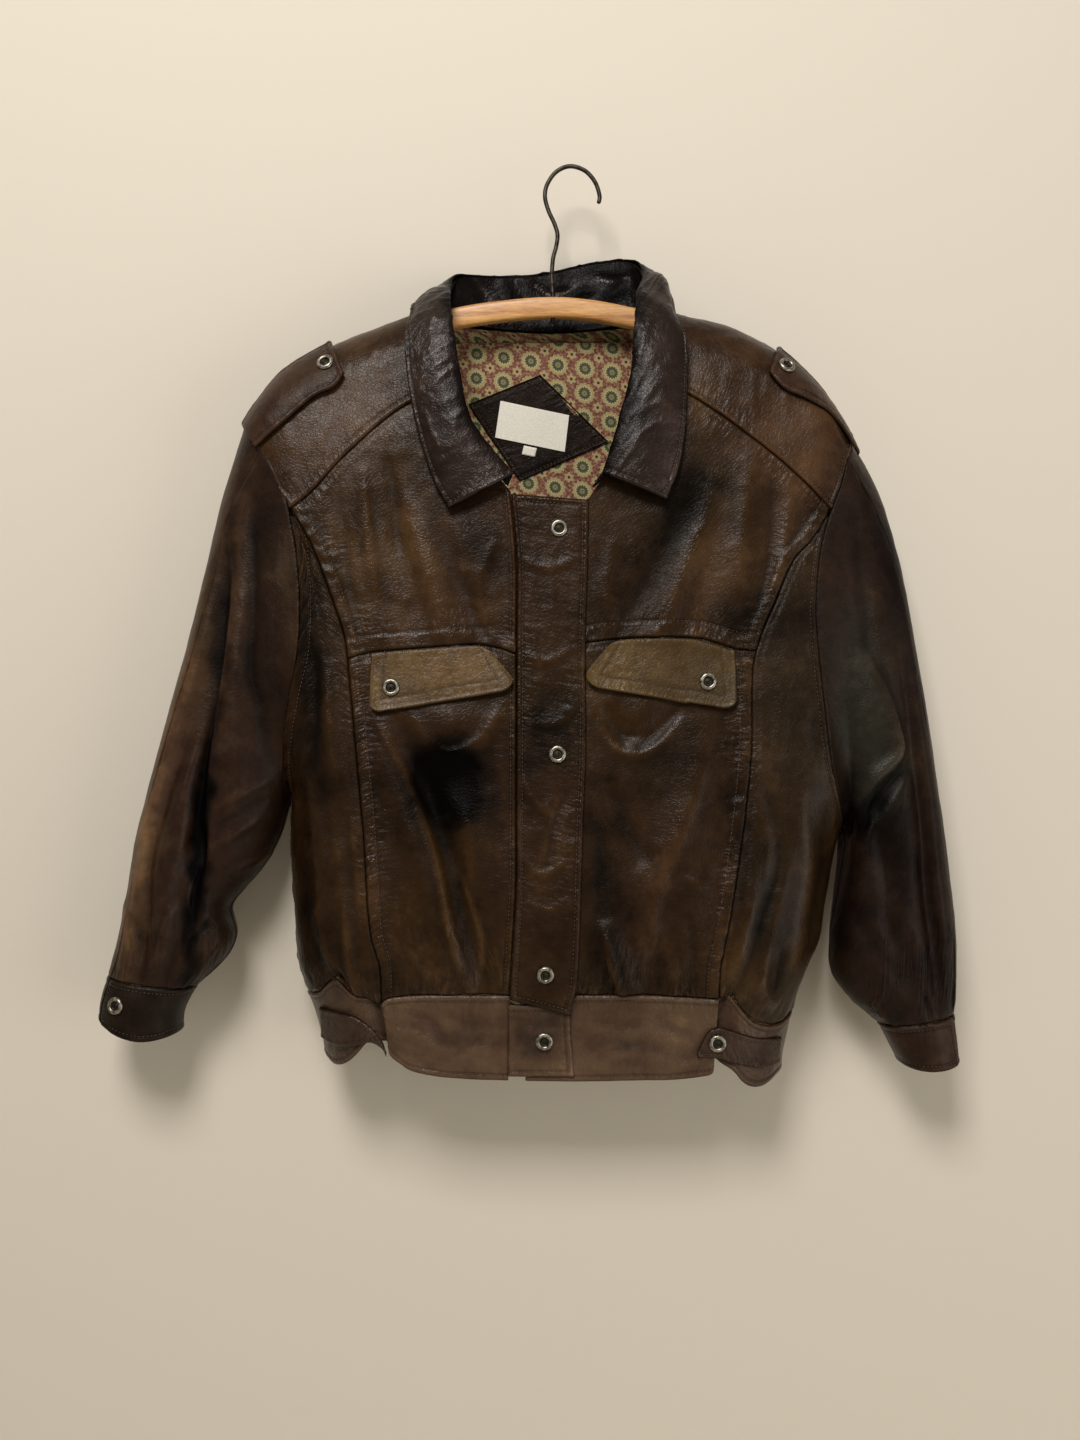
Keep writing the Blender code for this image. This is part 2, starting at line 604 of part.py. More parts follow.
def cuff(side):
    table = LEFT_CUFF if side == "left" else RIGHT_CUFF
    count = 20

    def place(u, v):
        turn = u * 2 * math.pi + 0.6
        s = (1 - math.cos(turn)) / 2
        behind = math.sin(turn) < 0
        low = min(int(v * 2), 1)
        a = sectionPoint(table[low], s, behind)
        b = sectionPoint(table[low + 1], s, behind)
        return a.lerp(b, v * 2 - low)

    def normal(point, u, v):
        e = 0.01
        across = place((u + e) % 1, v) - place((u - e) % 1, v)
        down = place(u, min(v + e, 1)) - place(u, max(v - e, 0))
        own = across.cross(down).normalized()
        middle = (place(u, v) + place((u + 0.5) % 1, v)) / 2
        return own if own.dot(point - middle) > 0 else -own

    clothPiece("cuff_" + tag(side), place, count, 2, "leather_brown", normalOf=normal)


# ---------------------------------------------------------------- waistband and placket
def hemZ(x):
    return -783.0 - 0.045 * (x + 14.0)


def band():
    """Waistband: two fronts, a back, and two sides that wrap round the side seams."""
    top = WAIST_Z - 0.1

    def height(x, v):
        return blend(hemZ(x), top, v)

    def flat(x0, x1, behind):
        def place(u, v):
            x = blend(x0(v), x1(v), u)
            return bodyPoint(x, height(x, v), behind)
        return place

    def seam(side):
        return lambda v: read(FRONT_SEAM, blend(hemZ(0), top, v), column(side))

    def closing(v):
        return read(PLACKET, blend(hemZ(0), top, v), 1)

    def under(v):
        return closing(v) + PLACKET_UNDERLAP

    clothPiece("waistband_front_L", flat(seam("left"), closing, False), 6, 2, "leather_brown",
               normalOf=onBodyFront)
    clothPiece("waistband_front_R", flat(under, seam("right"), False), 7, 2, "leather_brown",
               normalOf=onBodyFront)
    clothPiece("waistband_back", flat(seam("left"), seam("right"), True), 12, 2, "leather_brown",
               normalOf=onBodyBack)
    for side in ("left", "right"):
        def place(u, v, side=side):
            share = 1 - math.cos((1 - 2 * u) * math.pi / 2)
            edge = read(SIDES, blend(hemZ(0), top, v), column(side))
            z = height(blend(edge, seam(side)(v), share), v)
            x = blend(read(SIDES, z, column(side)), seam(side)(v), share)
            return bodyPoint(x, z, behind=u > 0.5)

        def normal(point, u, v):
            return bodyNormal(point, behind=u > 0.5)

        clothPiece("waistband_side_" + tag(side), place, 10, 2, "leather_brown", normalOf=normal)


def overlapEnd():
    """The band's free end, on top of the right band."""
    def place(u, v):
        z = blend(-782.5, -721.0, v)
        return bodyPoint(blend(-53.0, read(PLACKET, z, 2), u), z)

    clothPiece("waistband_overlap", place, 4, 3, "leather_brown", lift=LIFT + CLOTH, normalOf=onBodyFront)


def placket():
    def place(u, v):
        z = blend(-715.0 - 4.5 * u, blend(-295.0, -300.0, u), v)
        return bodyPoint(blend(read(PLACKET, z, 1), read(PLACKET, z, 2), u), z)

    clothPiece("placket", place, 4, 17, "leather_brown", lift=LIFT + CLOTH, normalOf=onBodyFront)


# ---------------------------------------------------------------- flaps, epaulettes, tabs
def rounded(distance, radius):
    """How far a rounded corner eats into an edge, distance away from the end."""
    if distance >= radius:
        return 0.0
    return radius - math.sqrt(max(radius ** 2 - (radius - distance) ** 2, 0.0))


def flap(side):
    x0, x1, topA, topB, lowA, lowB, corner = FLAPS[side]

    def place(u, v):
        f = (1 - math.cos(math.pi * u)) / 2
        x = blend(x0, x1, f)
        nearest = min(x - x0, x1 - x)
        low = blend(lowA, lowB, f) + rounded(nearest, corner) * 0.8
        top = blend(topA, topB, f)
        return bodyPoint(x, blend(low, top, v))

    clothPiece("pocket_flap_" + tag(side), place, 8, 4, "leather_olive", lift=LIFT + CLOTH,
               normalOf=onBodyFront)


def epaulette(side):
    table = EPAULETTE_LEFT if side == "left" else EPAULETTE_RIGHT

    def place(u, v):
        lowX, lowZ, upX, upZ = walk(table, u)
        share = (1 - v) ** 2
        x = blend(upX, lowX, share)
        z = min(blend(upZ, lowZ, share), read(RIDGE, x) - 1.0)
        return bodyPoint(x, z)

    clothPiece("epaulette_" + tag(side), place, 7, 5, "leather_olive", lift=EPAULETTE_LIFT + CLOTH,
               normalOf=onBodyFront)


def tab(side):
    x0, x1, topA, topB, lowA, lowB = TABS[side]

    def place(u, v):
        x = blend(x0, x1, u)
        return bodyPoint(x, blend(blend(lowA, lowB, u), blend(topA, topB, u), v))

    clothPiece("waist_tab_" + tag(side), place, 6, 2, "leather_brown", lift=LIFT + CLOTH + 0.2,
               normalOf=onBodyFront)


# ---------------------------------------------------------------- collar
def collarRow(t):
    row = walk(COLLAR, t)
    return Vector(row[0:3]), Vector(row[3:6]), Vector(row[6:9])


def collar():
    """A stand from the neck seam up to the roll, and a fall from the roll down to its edge."""
    def outwards(t):
        _, before, _ = collarRow(max(t - 0.01, 0))
        _, after, _ = collarRow(min(t + 0.01, 1))
        _, roll, edge = collarRow(t)
        normal = (after - before).cross(edge - roll).normalized()
        away = Vector(((roll.x + 20) * 0.3, roll.y, 10))
        return normal if normal.dot(away) > 0 else -normal

    def stand(u, v):
        seam, roll, _ = collarRow(u)
        return seam.lerp(roll, v)

    def fall(u, v):
        seam, roll, edge = collarRow(u)
        out = outwards(u)
        start = roll + out * ROLL_ROUND
        return start.lerp(edge, v) + out * FALL_BULGE * math.sin(math.pi * v)

    def fallNormal(point, u, v):
        e = 0.01
        a = fall(min(u + e, 1), v) - fall(max(u - e, 0), v)
        b = fall(u, min(v + e, 1)) - fall(u, max(v - e, 0))
        own = a.cross(b).normalized()
        return own if own.dot(outwards(u)) > 0 else -own

    def standNormal(point, u, v):
        e = 0.01
        a = stand(min(u + e, 1), v) - stand(max(u - e, 0), v)
        b = stand(u, min(v + e, 1)) - stand(u, max(v - e, 0))
        own = a.cross(b).normalized()
        seam, roll, edge = collarRow(u)
        return own if own.dot(edge - seam.lerp(roll, 0.5)) > 0 else -own

    clothPiece("collar_stand", stand, 24, 2, "leather_dark", wall=1.6, normalOf=standNormal)
    clothPiece("collar_fall", fall, 26, 4, "leather_brown", wall=COLLAR_WALL, normalOf=fallNormal)


# ---------------------------------------------------------------- lining and labels
def inside(point, u=0.0, v=0.0):
    return bodyNormal(point, behind=True)


def liningPiece(name, corners, columns, rows, depth, wall, finishName):
    """A flat-cut piece on the inside of the back; corners are x, z, counter-clockwise from low left."""
    (ax, az), (bx, bz), (cx, cz), (dx, dz) = corners

    def place(u, v):
        x = blend(blend(ax, bx, u), blend(dx, cx, u), v)
        z = blend(blend(az, bz, u), blend(dz, cz, u), v)
        return bodyPoint(x, z, behind=True)

    clothPiece(name, place, columns, rows, finishName, normalOf=inside, wall=wall, lift=-depth)


def linings():
    first = CLOTH + LIFT + 0.3
    liningPiece("lining_back", [(-118, -332), (76, -332), (72, -146), (-114, -146)], 8,
                [0, 0.3, 0.55, 0.72, 0.84, 0.92, 1.0], first, LINING_WALL, "lining_cloth")
    second = first + LINING_WALL + 0.7
    liningPiece("label_patch", [(-91, -201), (-45, -270), (35, -234), (-26, -175)], 4, 3, second,
                1.3, "leather_dark")
    third = second + 1.3 + 0.6
    liningPiece("label_blank", [(-67, -231), (-4, -244), (0, -211), (-62, -198)], 3, 2, third, 0.8,
                "label_cloth")
    liningPiece("size_tab", [(-42, -247), (-30, -250), (-28, -242), (-40, -239)], 1, 1, third, 0.7,
                "label_cloth")


# ---------------------------------------------------------------- snaps
def snapMesh():
    """Turned cap with a sunk middle, facing +Z."""
    mesh = bpy.data.meshes.new("snap_profile")
    verts = [(mm(x), 0.0, mm(z)) for x, z in SNAP_PROFILE]
    edges = [(i, i + 1) for i in range(len(verts) - 1)]
    mesh.from_pydata(verts, edges, [])
    return mesh


def placeSnap(name, point, normal):
    item = addObject(name, snapMesh(), "snap_metal")
    turn = normal.to_track_quat("Z", "Y").to_matrix().to_4x4()
    item.matrix_world = Matrix.Translation(point * 0.001) @ turn
    screw = item.modifiers.new("turn", "SCREW")
    screw.steps = 10
    screw.render_steps = 10
    screw.use_merge_vertices = True
    screw.merge_threshold = 0.00005
    screw.use_normal_calculate = False


def snaps():
    over = LIFT + CLOTH + 0.35
    lifts = {"placket": over, "overlap": over, "flap": over, "epaulette": EPAULETTE_LIFT + CLOTH + 0.45,
             "tab": over + 0.2}
    for name, x, z, seat in SNAPS:
        point = bodyPoint(x, z)
        normal = bodyNormal(point, behind=False)
        placeSnap(name, point + normal * lifts[seat], normal)
    for side, table, s, behind in (("left", LEFT_CUFF, 0.22, False), ("right", RIGHT_CUFF, 0.25, True)):
        point = sectionPoint(table[1], s, behind)
        wide = sectionPoint(table[1], s + 0.05, behind) - sectionPoint(table[1], s - 0.05, behind)
        tall = sectionPoint(table[2], s, behind) - sectionPoint(table[0], s, behind)
        normal = wide.cross(tall).normalized()
        normal = normal if (normal.y > 0) == behind else -normal
        placeSnap("snap_cuff_" + tag(side), point + normal * 0.5, normal)


# ---------------------------------------------------------------- hanger
def wireObject(name, points, radius, finishName):
    curve = bpy.data.curves.new(name, "CURVE")
    curve.dimensions = "3D"
    curve.bevel_depth = mm(radius)
    curve.bevel_resolution = 2
    curve.use_fill_caps = True
    spline = curve.splines.new("POLY")
    spline.points.add(len(points) - 1)
    for target, point in zip(spline.points, points):
        target.co = (*point, 1.0)
    return addObject(name, curve, finishName)


def hanger():
    count = 22
    bm = bmesh.new()
    start, end = BAR_TOP[0][0], BAR_TOP[-1][0]
    xs = [blend(start, end, k / count) for k in range(count + 1)]

    def tall(x):
        return BAR_TALL * min(1.0, 0.55 + 0.03 * min(x - start, end - x))

    tops = [(x, read(BAR_TOP, x)) for x in xs]
    lows = [(x, z - tall(x)) for x, z in tops]
    outline = [bm.verts.new((mm(x), mm(-BAR_THICK / 2), mm(z))) for x, z in tops + lows[::-1]]
    bm.faces.new(outline)
    made = bmesh.ops.extrude_face_region(bm, geom=bm.faces[:], use_keep_orig=True)
    for v in made["geom"]:
        if isinstance(v, bmesh.types.BMVert):
            v.co.y = mm(BAR_THICK / 2)
    bmesh.ops.recalc_face_normals(bm, faces=bm.faces[:])
    mesh = bpy.data.meshes.new("hanger_bar")
    bm.to_mesh(mesh)
    bm.free()
    bar = addObject("hanger_bar", mesh, "hanger_wood")

    stem = HOOK[-1]
    cutMesh = bpy.data.meshes.new("stem_hole")
    hole = bmesh.new()
    bmesh.ops.create_cone(hole, cap_ends=True, segments=16, radius1=mm(WIRE_RADIUS + 0.45),
                          radius2=mm(WIRE_RADIUS + 0.45), depth=0.06)
    hole.to_mesh(cutMesh)
    hole.free()
    cutter = bpy.data.objects.new("stem_hole", cutMesh)
    cutter.location = (mm(stem[0]), 0.0, mm(stem[1] + 12))
    cutter.hide_render = True
    cutter.display_type = "WIRE"
    bpy.data.collections["cutters"].objects.link(cutter)
    cut = bar.modifiers.new("stem hole", "BOOLEAN")
    cut.object = cutter
    cut.operation = "DIFFERENCE"
    cut.solver = "EXACT"

    fine = 2
    path = []
    steps = (len(HOOK) - 3) * fine
    for k in range(steps + 1):
        x, z = walk(HOOK[:-2], k / steps)
        path.append((mm(x), 0.0, mm(z)))
    path += [(mm(x), 0.0, mm(z)) for x, z in HOOK[-2:]]
    wireObject("hanger_hook", path, WIRE_RADIUS, "hook_steel")


def main():
    clearScene()
    for name in ("leather_jacket", "cutters"):
        if name not in bpy.data.collections:
            bpy.context.scene.collection.children.link(bpy.data.collections.new(name))
    backPanel()
    backYoke()
    for side in ("left", "right"):
        frontUpper(side)
        frontLower(side)
        sideFront(side)
        yoke(side)
        sleeve(side)
        cuff(side)
        flap(side)
        epaulette(side)
        tab(side)
    band()
    overlapEnd()
    placket()
    collar()
    linings()
    snaps()
    hanger()


main()
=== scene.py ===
# Worn leather blouson jacket on a wooden hanger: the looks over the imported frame.
# The tables are in millimetres; meshes are written in metres. Front faces -Y, up is +Z.
import math

import bpy
import numpy as np
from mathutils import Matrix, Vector


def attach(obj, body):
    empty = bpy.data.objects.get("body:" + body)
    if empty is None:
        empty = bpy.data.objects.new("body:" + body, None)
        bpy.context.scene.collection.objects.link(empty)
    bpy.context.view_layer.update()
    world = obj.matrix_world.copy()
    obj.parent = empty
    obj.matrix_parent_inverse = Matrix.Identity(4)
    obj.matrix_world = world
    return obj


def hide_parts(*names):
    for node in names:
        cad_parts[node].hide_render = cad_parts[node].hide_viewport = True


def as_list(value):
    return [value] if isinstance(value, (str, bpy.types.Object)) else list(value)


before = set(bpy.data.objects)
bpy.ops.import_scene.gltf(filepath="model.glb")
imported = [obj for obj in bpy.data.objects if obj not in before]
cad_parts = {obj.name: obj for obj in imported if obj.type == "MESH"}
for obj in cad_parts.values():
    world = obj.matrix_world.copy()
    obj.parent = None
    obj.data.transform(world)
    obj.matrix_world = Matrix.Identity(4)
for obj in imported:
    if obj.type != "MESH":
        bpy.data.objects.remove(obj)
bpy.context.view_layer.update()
print("stage: frame loaded,", len(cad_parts), "nodes")

# the form: outlines, depths and seams of the jacket
form = {
    # shoulder ridge from the front: x, z
    "ridge": [(-316, -300), (-296, -250), (-287, -232), (-275, -213), (-262, -196), (-247, -180),
        (-227, -167), (-204, -155), (-170, -142), (-141, -132), (-122, -127), (-105, -121),
        (-60, -113), (-20, -110), (20, -112), (60, -118), (80, -124), (95, -129), (134, -139),
        (170, -156), (184, -165), (200, -179), (215, -195), (228, -213), (239, -231),
        (252, -250), (274, -300)],
    # side of the body: z, left x, right x
    "sides": [(-810, -208, 182), (-769, -216, 188), (-735, -225, 195), (-717, -231, 201),
        (-697, -237, 209), (-674, -239, 218), (-647, -241, 222), (-616, -243, 227),
        (-600, -244, 230), (-576, -244, 237), (-549, -244, 246), (-530, -252, 251),
        (-500, -263, 255), (-450, -272, 257), (-400, -278, 258), (-345, -288, 260),
        (-300, -294, 262), (-255, -300, 264), (-225, -306, 266), (-100, -310, 270)],
    # depth from the middle plane: z, front, back
    "depths": [(-810, 60, 36), (-770, 63, 37), (-735, 66, 38), (-712, 70, 38), (-680, 75, 38),
        (-640, 74, 38), (-550, 66, 38), (-450, 58, 38), (-350, 52, 37), (-250, 47, 35),
        (-180, 41, 31), (-100, 36, 27)],
    # seam between front and side front: z, left x, right x
    "frontSeam": [(-790, -152, 118), (-724, -158, 122), (-690, -159, 123), (-664, -166, 128),
        (-637, -169, 133), (-581, -173, 142), (-512, -180, 150), (-443, -187, 152),
        (-418, -190, 158), (-390, -199, 170), (-350, -214, 188), (-332, -222, 204),
        (-307, -237, 219)],
    "armhole": [(-576, -243, 236), (-549, -243, 226), (-519, -245, 218), (-469, -239, 212),
        (-430, -231, 208), (-389, -229, 206), (-345, -232, 210), (-317, -237, 217),
        (-302, -240, 223), (-282, -247, 231), (-257, -261, 237), (-240, -274, 245),
        (-227, -284, 252)],
    "placket": [(-790, -53, 3), (-729, -51, -1), (-706, -51, 4), (-676, -49, 6), (-619, -46, 8),
        (-558, -46, 10), (-512, -46, 12), (-414, -46, 12), (-355, -46, 14), (-294, -51, 15)],
    # waist seam, pulled up and let down by the gathers: x, z in front, then behind
    "waistFront": [(-232, -720), (-222, -718), (-212, -713.5), (-203, -706), (-195, -701), (-189, -706),
        (-183, -713), (-170, -717), (-160, -722), (-155, -718), (-150, -716), (-120, -714),
        (-50, -714), (60, -714), (100, -716), (128, -717), (132, -713), (137, -719), (144, -728),
        (156, -737.5), (173, -742.5), (185, -742), (196, -738), (205, -735)],
    "waistBack": [(-232, -720), (-215, -717), (-190, -714), (150, -714), (175, -720), (190, -730), (205,
            -735)],
    # lower edge of the waistband in front: x, z
    "hemFront": [(-225, -772), (-212, -775), (-203, -779), (-196, -778), (-188, -774), (-179, -766),
        (-168, -754), (-160, -753), (-154, -762), (-149, -768), (-143, -772.5), (-135, -778),
        (-114, -783), (-85, -785.5), (-55, -786.5), (3, -787.5), (60, -786.5), (85, -786),
        (108, -783.5), (117, -781), (120.5, -776), (122.5, -769), (128, -773), (135, -778.5),
        (144, -789), (153, -794), (163, -795), (172, -792), (180, -789), (190, -790)],
    # seam across each front, above the flap: x, z
    "chestSeam": ([(-200, -434), (-187, -433.5), (-168, -428.5), (-120, -424.5), (-79, -422), (-60, -425),
            (-48, -429.5)],
        [(-48, -422), (12, -420), (29, -418), (60, -416), (102, -416.5), (120, -421), (137, -426),
            (160, -427.5)]),
    "armholeTop": (-284.0, 245.0),
    "underarm": (-549.0, -576.0),
    "waist": -714.0,
    "chest": -436.0,
    "backYoke": -250.0,
    "shoulderDrop": 5.0,
    "ridgeRound": 45.0,
    "sideRound": 62.0,
    }
yokeSeams = ([(-237, -307), (-220, -293), (-196, -266), (-171, -242), (-156, -229), (-138, -217), (-107,
            -204)],
    [(64, -194), (98, -208), (125, -225), (145, -240), (173, -262), (198, -285), (219, -307)])
neckLines = ([(-51, -294), (-92, -244), (-107, -204), (-118, -165), (-122, -127)],
    [(15, -301), (48, -244), (64, -194), (73, -165), (80, -124)])
neckBack = [(-140, -137), (-122, -132), (-105, -133), (-62, -136), (-20, -138), (22, -136), (66, -132),
    (80, -130), (95, -134)]

# what holds for every cloth piece
cloth = {"wall": 1.6, "gap": 0.12, "lift": 0.9, "step": 2.7, "collarWall": 2.2, "liningWall": 1.0}

# largest folds, as in the frame: x, z, x, z, half-width, height
longFolds = {
    1: [(-165, -482, -84, -716, 15, 5.0), (-146, -480, -62, -716, 13, -4.5),
        (24, -474, 52, -506, 10, -4.0), (50, -506, 98, -472, 10, -4.0),
        (26, -650, 45, -718, 9, 4.5), (60, -665, 66, -718, 12, -3.0),
        (-150, -262, -132, -425, 20, -3.0), (124, -236, 108, -425, 20, -3.0),
        (-74, -655, -80, -718, 9, -3.5), (100, -560, 96, -718, 16, 3.5)],
    2: [(-120, -300, -92, -716, 26, 3.0), (84, -320, 112, -716, 26, 3.0),
        (0, -270, -12, -716, 30, -3.0), (-180, -560, -150, -716, 16, -2.5),
        (40, -600, 46, -716, 16, 2.5)],
    }


def mix(a, b, t):
    return a + (b - a) * t


def smooth(value, low, high):
    t = np.clip((value - low) / (high - low), 0.0, 1.0)
    return t * t * (3 - 2 * t)


# smooth value of a table's column, where its first column is at
def curve(table, at, column=1):
    rows = np.array(sorted(table), float)
    keys, values = rows[:, 0], rows[:, column]
    at = np.clip(np.asarray(at, float), keys[0], keys[-1])
    i = np.clip(np.searchsorted(keys, at, side="right") - 1, 0, len(keys) - 2)
    low, high = np.maximum(np.arange(len(keys)) - 1, 0), np.minimum(np.arange(len(keys)) + 1, len(keys) - 1)
    slope = (values[high] - values[low]) / (keys[high] - keys[low])
    step = keys[i + 1] - keys[i]
    t = (at - keys[i]) / step
    return ((2 * t ** 3 - 3 * t ** 2 + 1) * values[i] + (t ** 3 - 2 * t ** 2 + t) * step * slope[i]
        + (3 * t ** 2 - 2 * t ** 3) * values[i + 1] + (t ** 3 - t ** 2) * step * slope[i + 1])


# smooth line from q to r, given the points p before and s after; f is the share of the way
def between(p, q, r, s, f):
    square = (2 * p - 5 * q + 4 * r - s) * f * f
    cube = (3 * q - p - 3 * r + s) * f ** 3
    return 0.5 * (2 * q + (r - p) * f + square + cube)


# point at fraction t along a smooth line through a short list of points
def walk(points, t):
    rows = np.array(points, float)
    place = np.clip(np.asarray(t, float), 0.0, 1.0) * (len(rows) - 1)
    i = np.minimum(place.astype(int), len(rows) - 2)
    f = (place - i)[..., None]
    p, q, r, s = (rows[np.clip(i + k, 0, len(rows) - 1)] for k in (-1, 0, 1, 2))
    return between(p, q, r, s, f)


# smooth random value from -1 to 1 on a square lattice
def noise(x, y, seed=0):
    xi, yi = np.floor(x), np.floor(y)
    fx, fy = x - xi, y - yi
    fx, fy = fx * fx * (3 - 2 * fx), fy * fy * (3 - 2 * fy)

    def corner(i, j):
        value = np.sin((xi + i) * 127.1 + (yi + j) * 311.7 + seed * 74.7) * 43758.5453
        return (value - np.floor(value)) * 2 - 1

    return mix(mix(corner(0, 0), corner(1, 0), fx), mix(corner(0, 1), corner(1, 1), fx), fy)


def rounding(distance, reach):
    t = np.clip(distance / reach, 0.0, 1.0)
    return t * (2.0 - t)


def longRelief(column, x, z):
    total = np.zeros_like(x)
    for x0, z0, x1, z1, width, height in longFolds[column]:
        runX, runZ = x1 - x0, z1 - z0
        length = math.hypot(runX, runZ)
        t = ((x - x0) * runX + (z - z0) * runZ) / length ** 2
        off = ((x - x0) * runZ - (z - z0) * runX) / length
        inside = (t > 0) & (t < 1)
        total += inside * height * np.sin(math.pi * np.clip(t, 0, 1)) ** 0.7 * np.exp(-(off / width) ** 2)
    return total


# square of the body's depth; column 1 is the front and 2 the back
def fullness(x, z, column):
    depth = curve(form["depths"], z, column) + longRelief(column, x, z)
    over = rounding(curve(form["ridge"], x) - z, form["ridgeRound"])
    left = rounding(x - curve(form["sides"], z, 1), form["sideRound"])
    right = rounding(curve(form["sides"], z, 2) - x, form["sideRound"])
    return depth * depth * over * left * right


def stack(x, y, z):
    return np.stack(np.broadcast_arrays(np.asarray(x, float), np.asarray(y, float), np.asarray(z, float)), -1)


def unit(vectors):
    return vectors / np.maximum(np.linalg.norm(vectors, axis=-1, keepdims=True), 1e-9)


def bodyPoint(x, z, behind=False):
    x, z = np.broadcast_arrays(np.asarray(x, float), np.asarray(z, float))
    behind = np.broadcast_to(behind, x.shape)
    front = -np.sqrt(np.maximum(fullness(x, z, 1), 0))
    back = np.sqrt(np.maximum(fullness(x, z, 2), 0))
    return stack(x, np.where(behind, back, front), z)


def bodyNormal(points, behind=False):
    x, y, z = points[..., 0], points[..., 1], points[..., 2]
    behind = np.broadcast_to(behind, x.shape)
    e = 0.5
    found = []
    for column in (1, 2):
        across = (fullness(x + e, z, column) - fullness(x - e, z, column)) / (2 * e)
        up = (fullness(x, z + e, column) - fullness(x, z - e, column)) / (2 * e)
        found.append(unit(stack(-across, 2 * y, -up)))
    return np.where(behind[..., None], found[1], found[0])


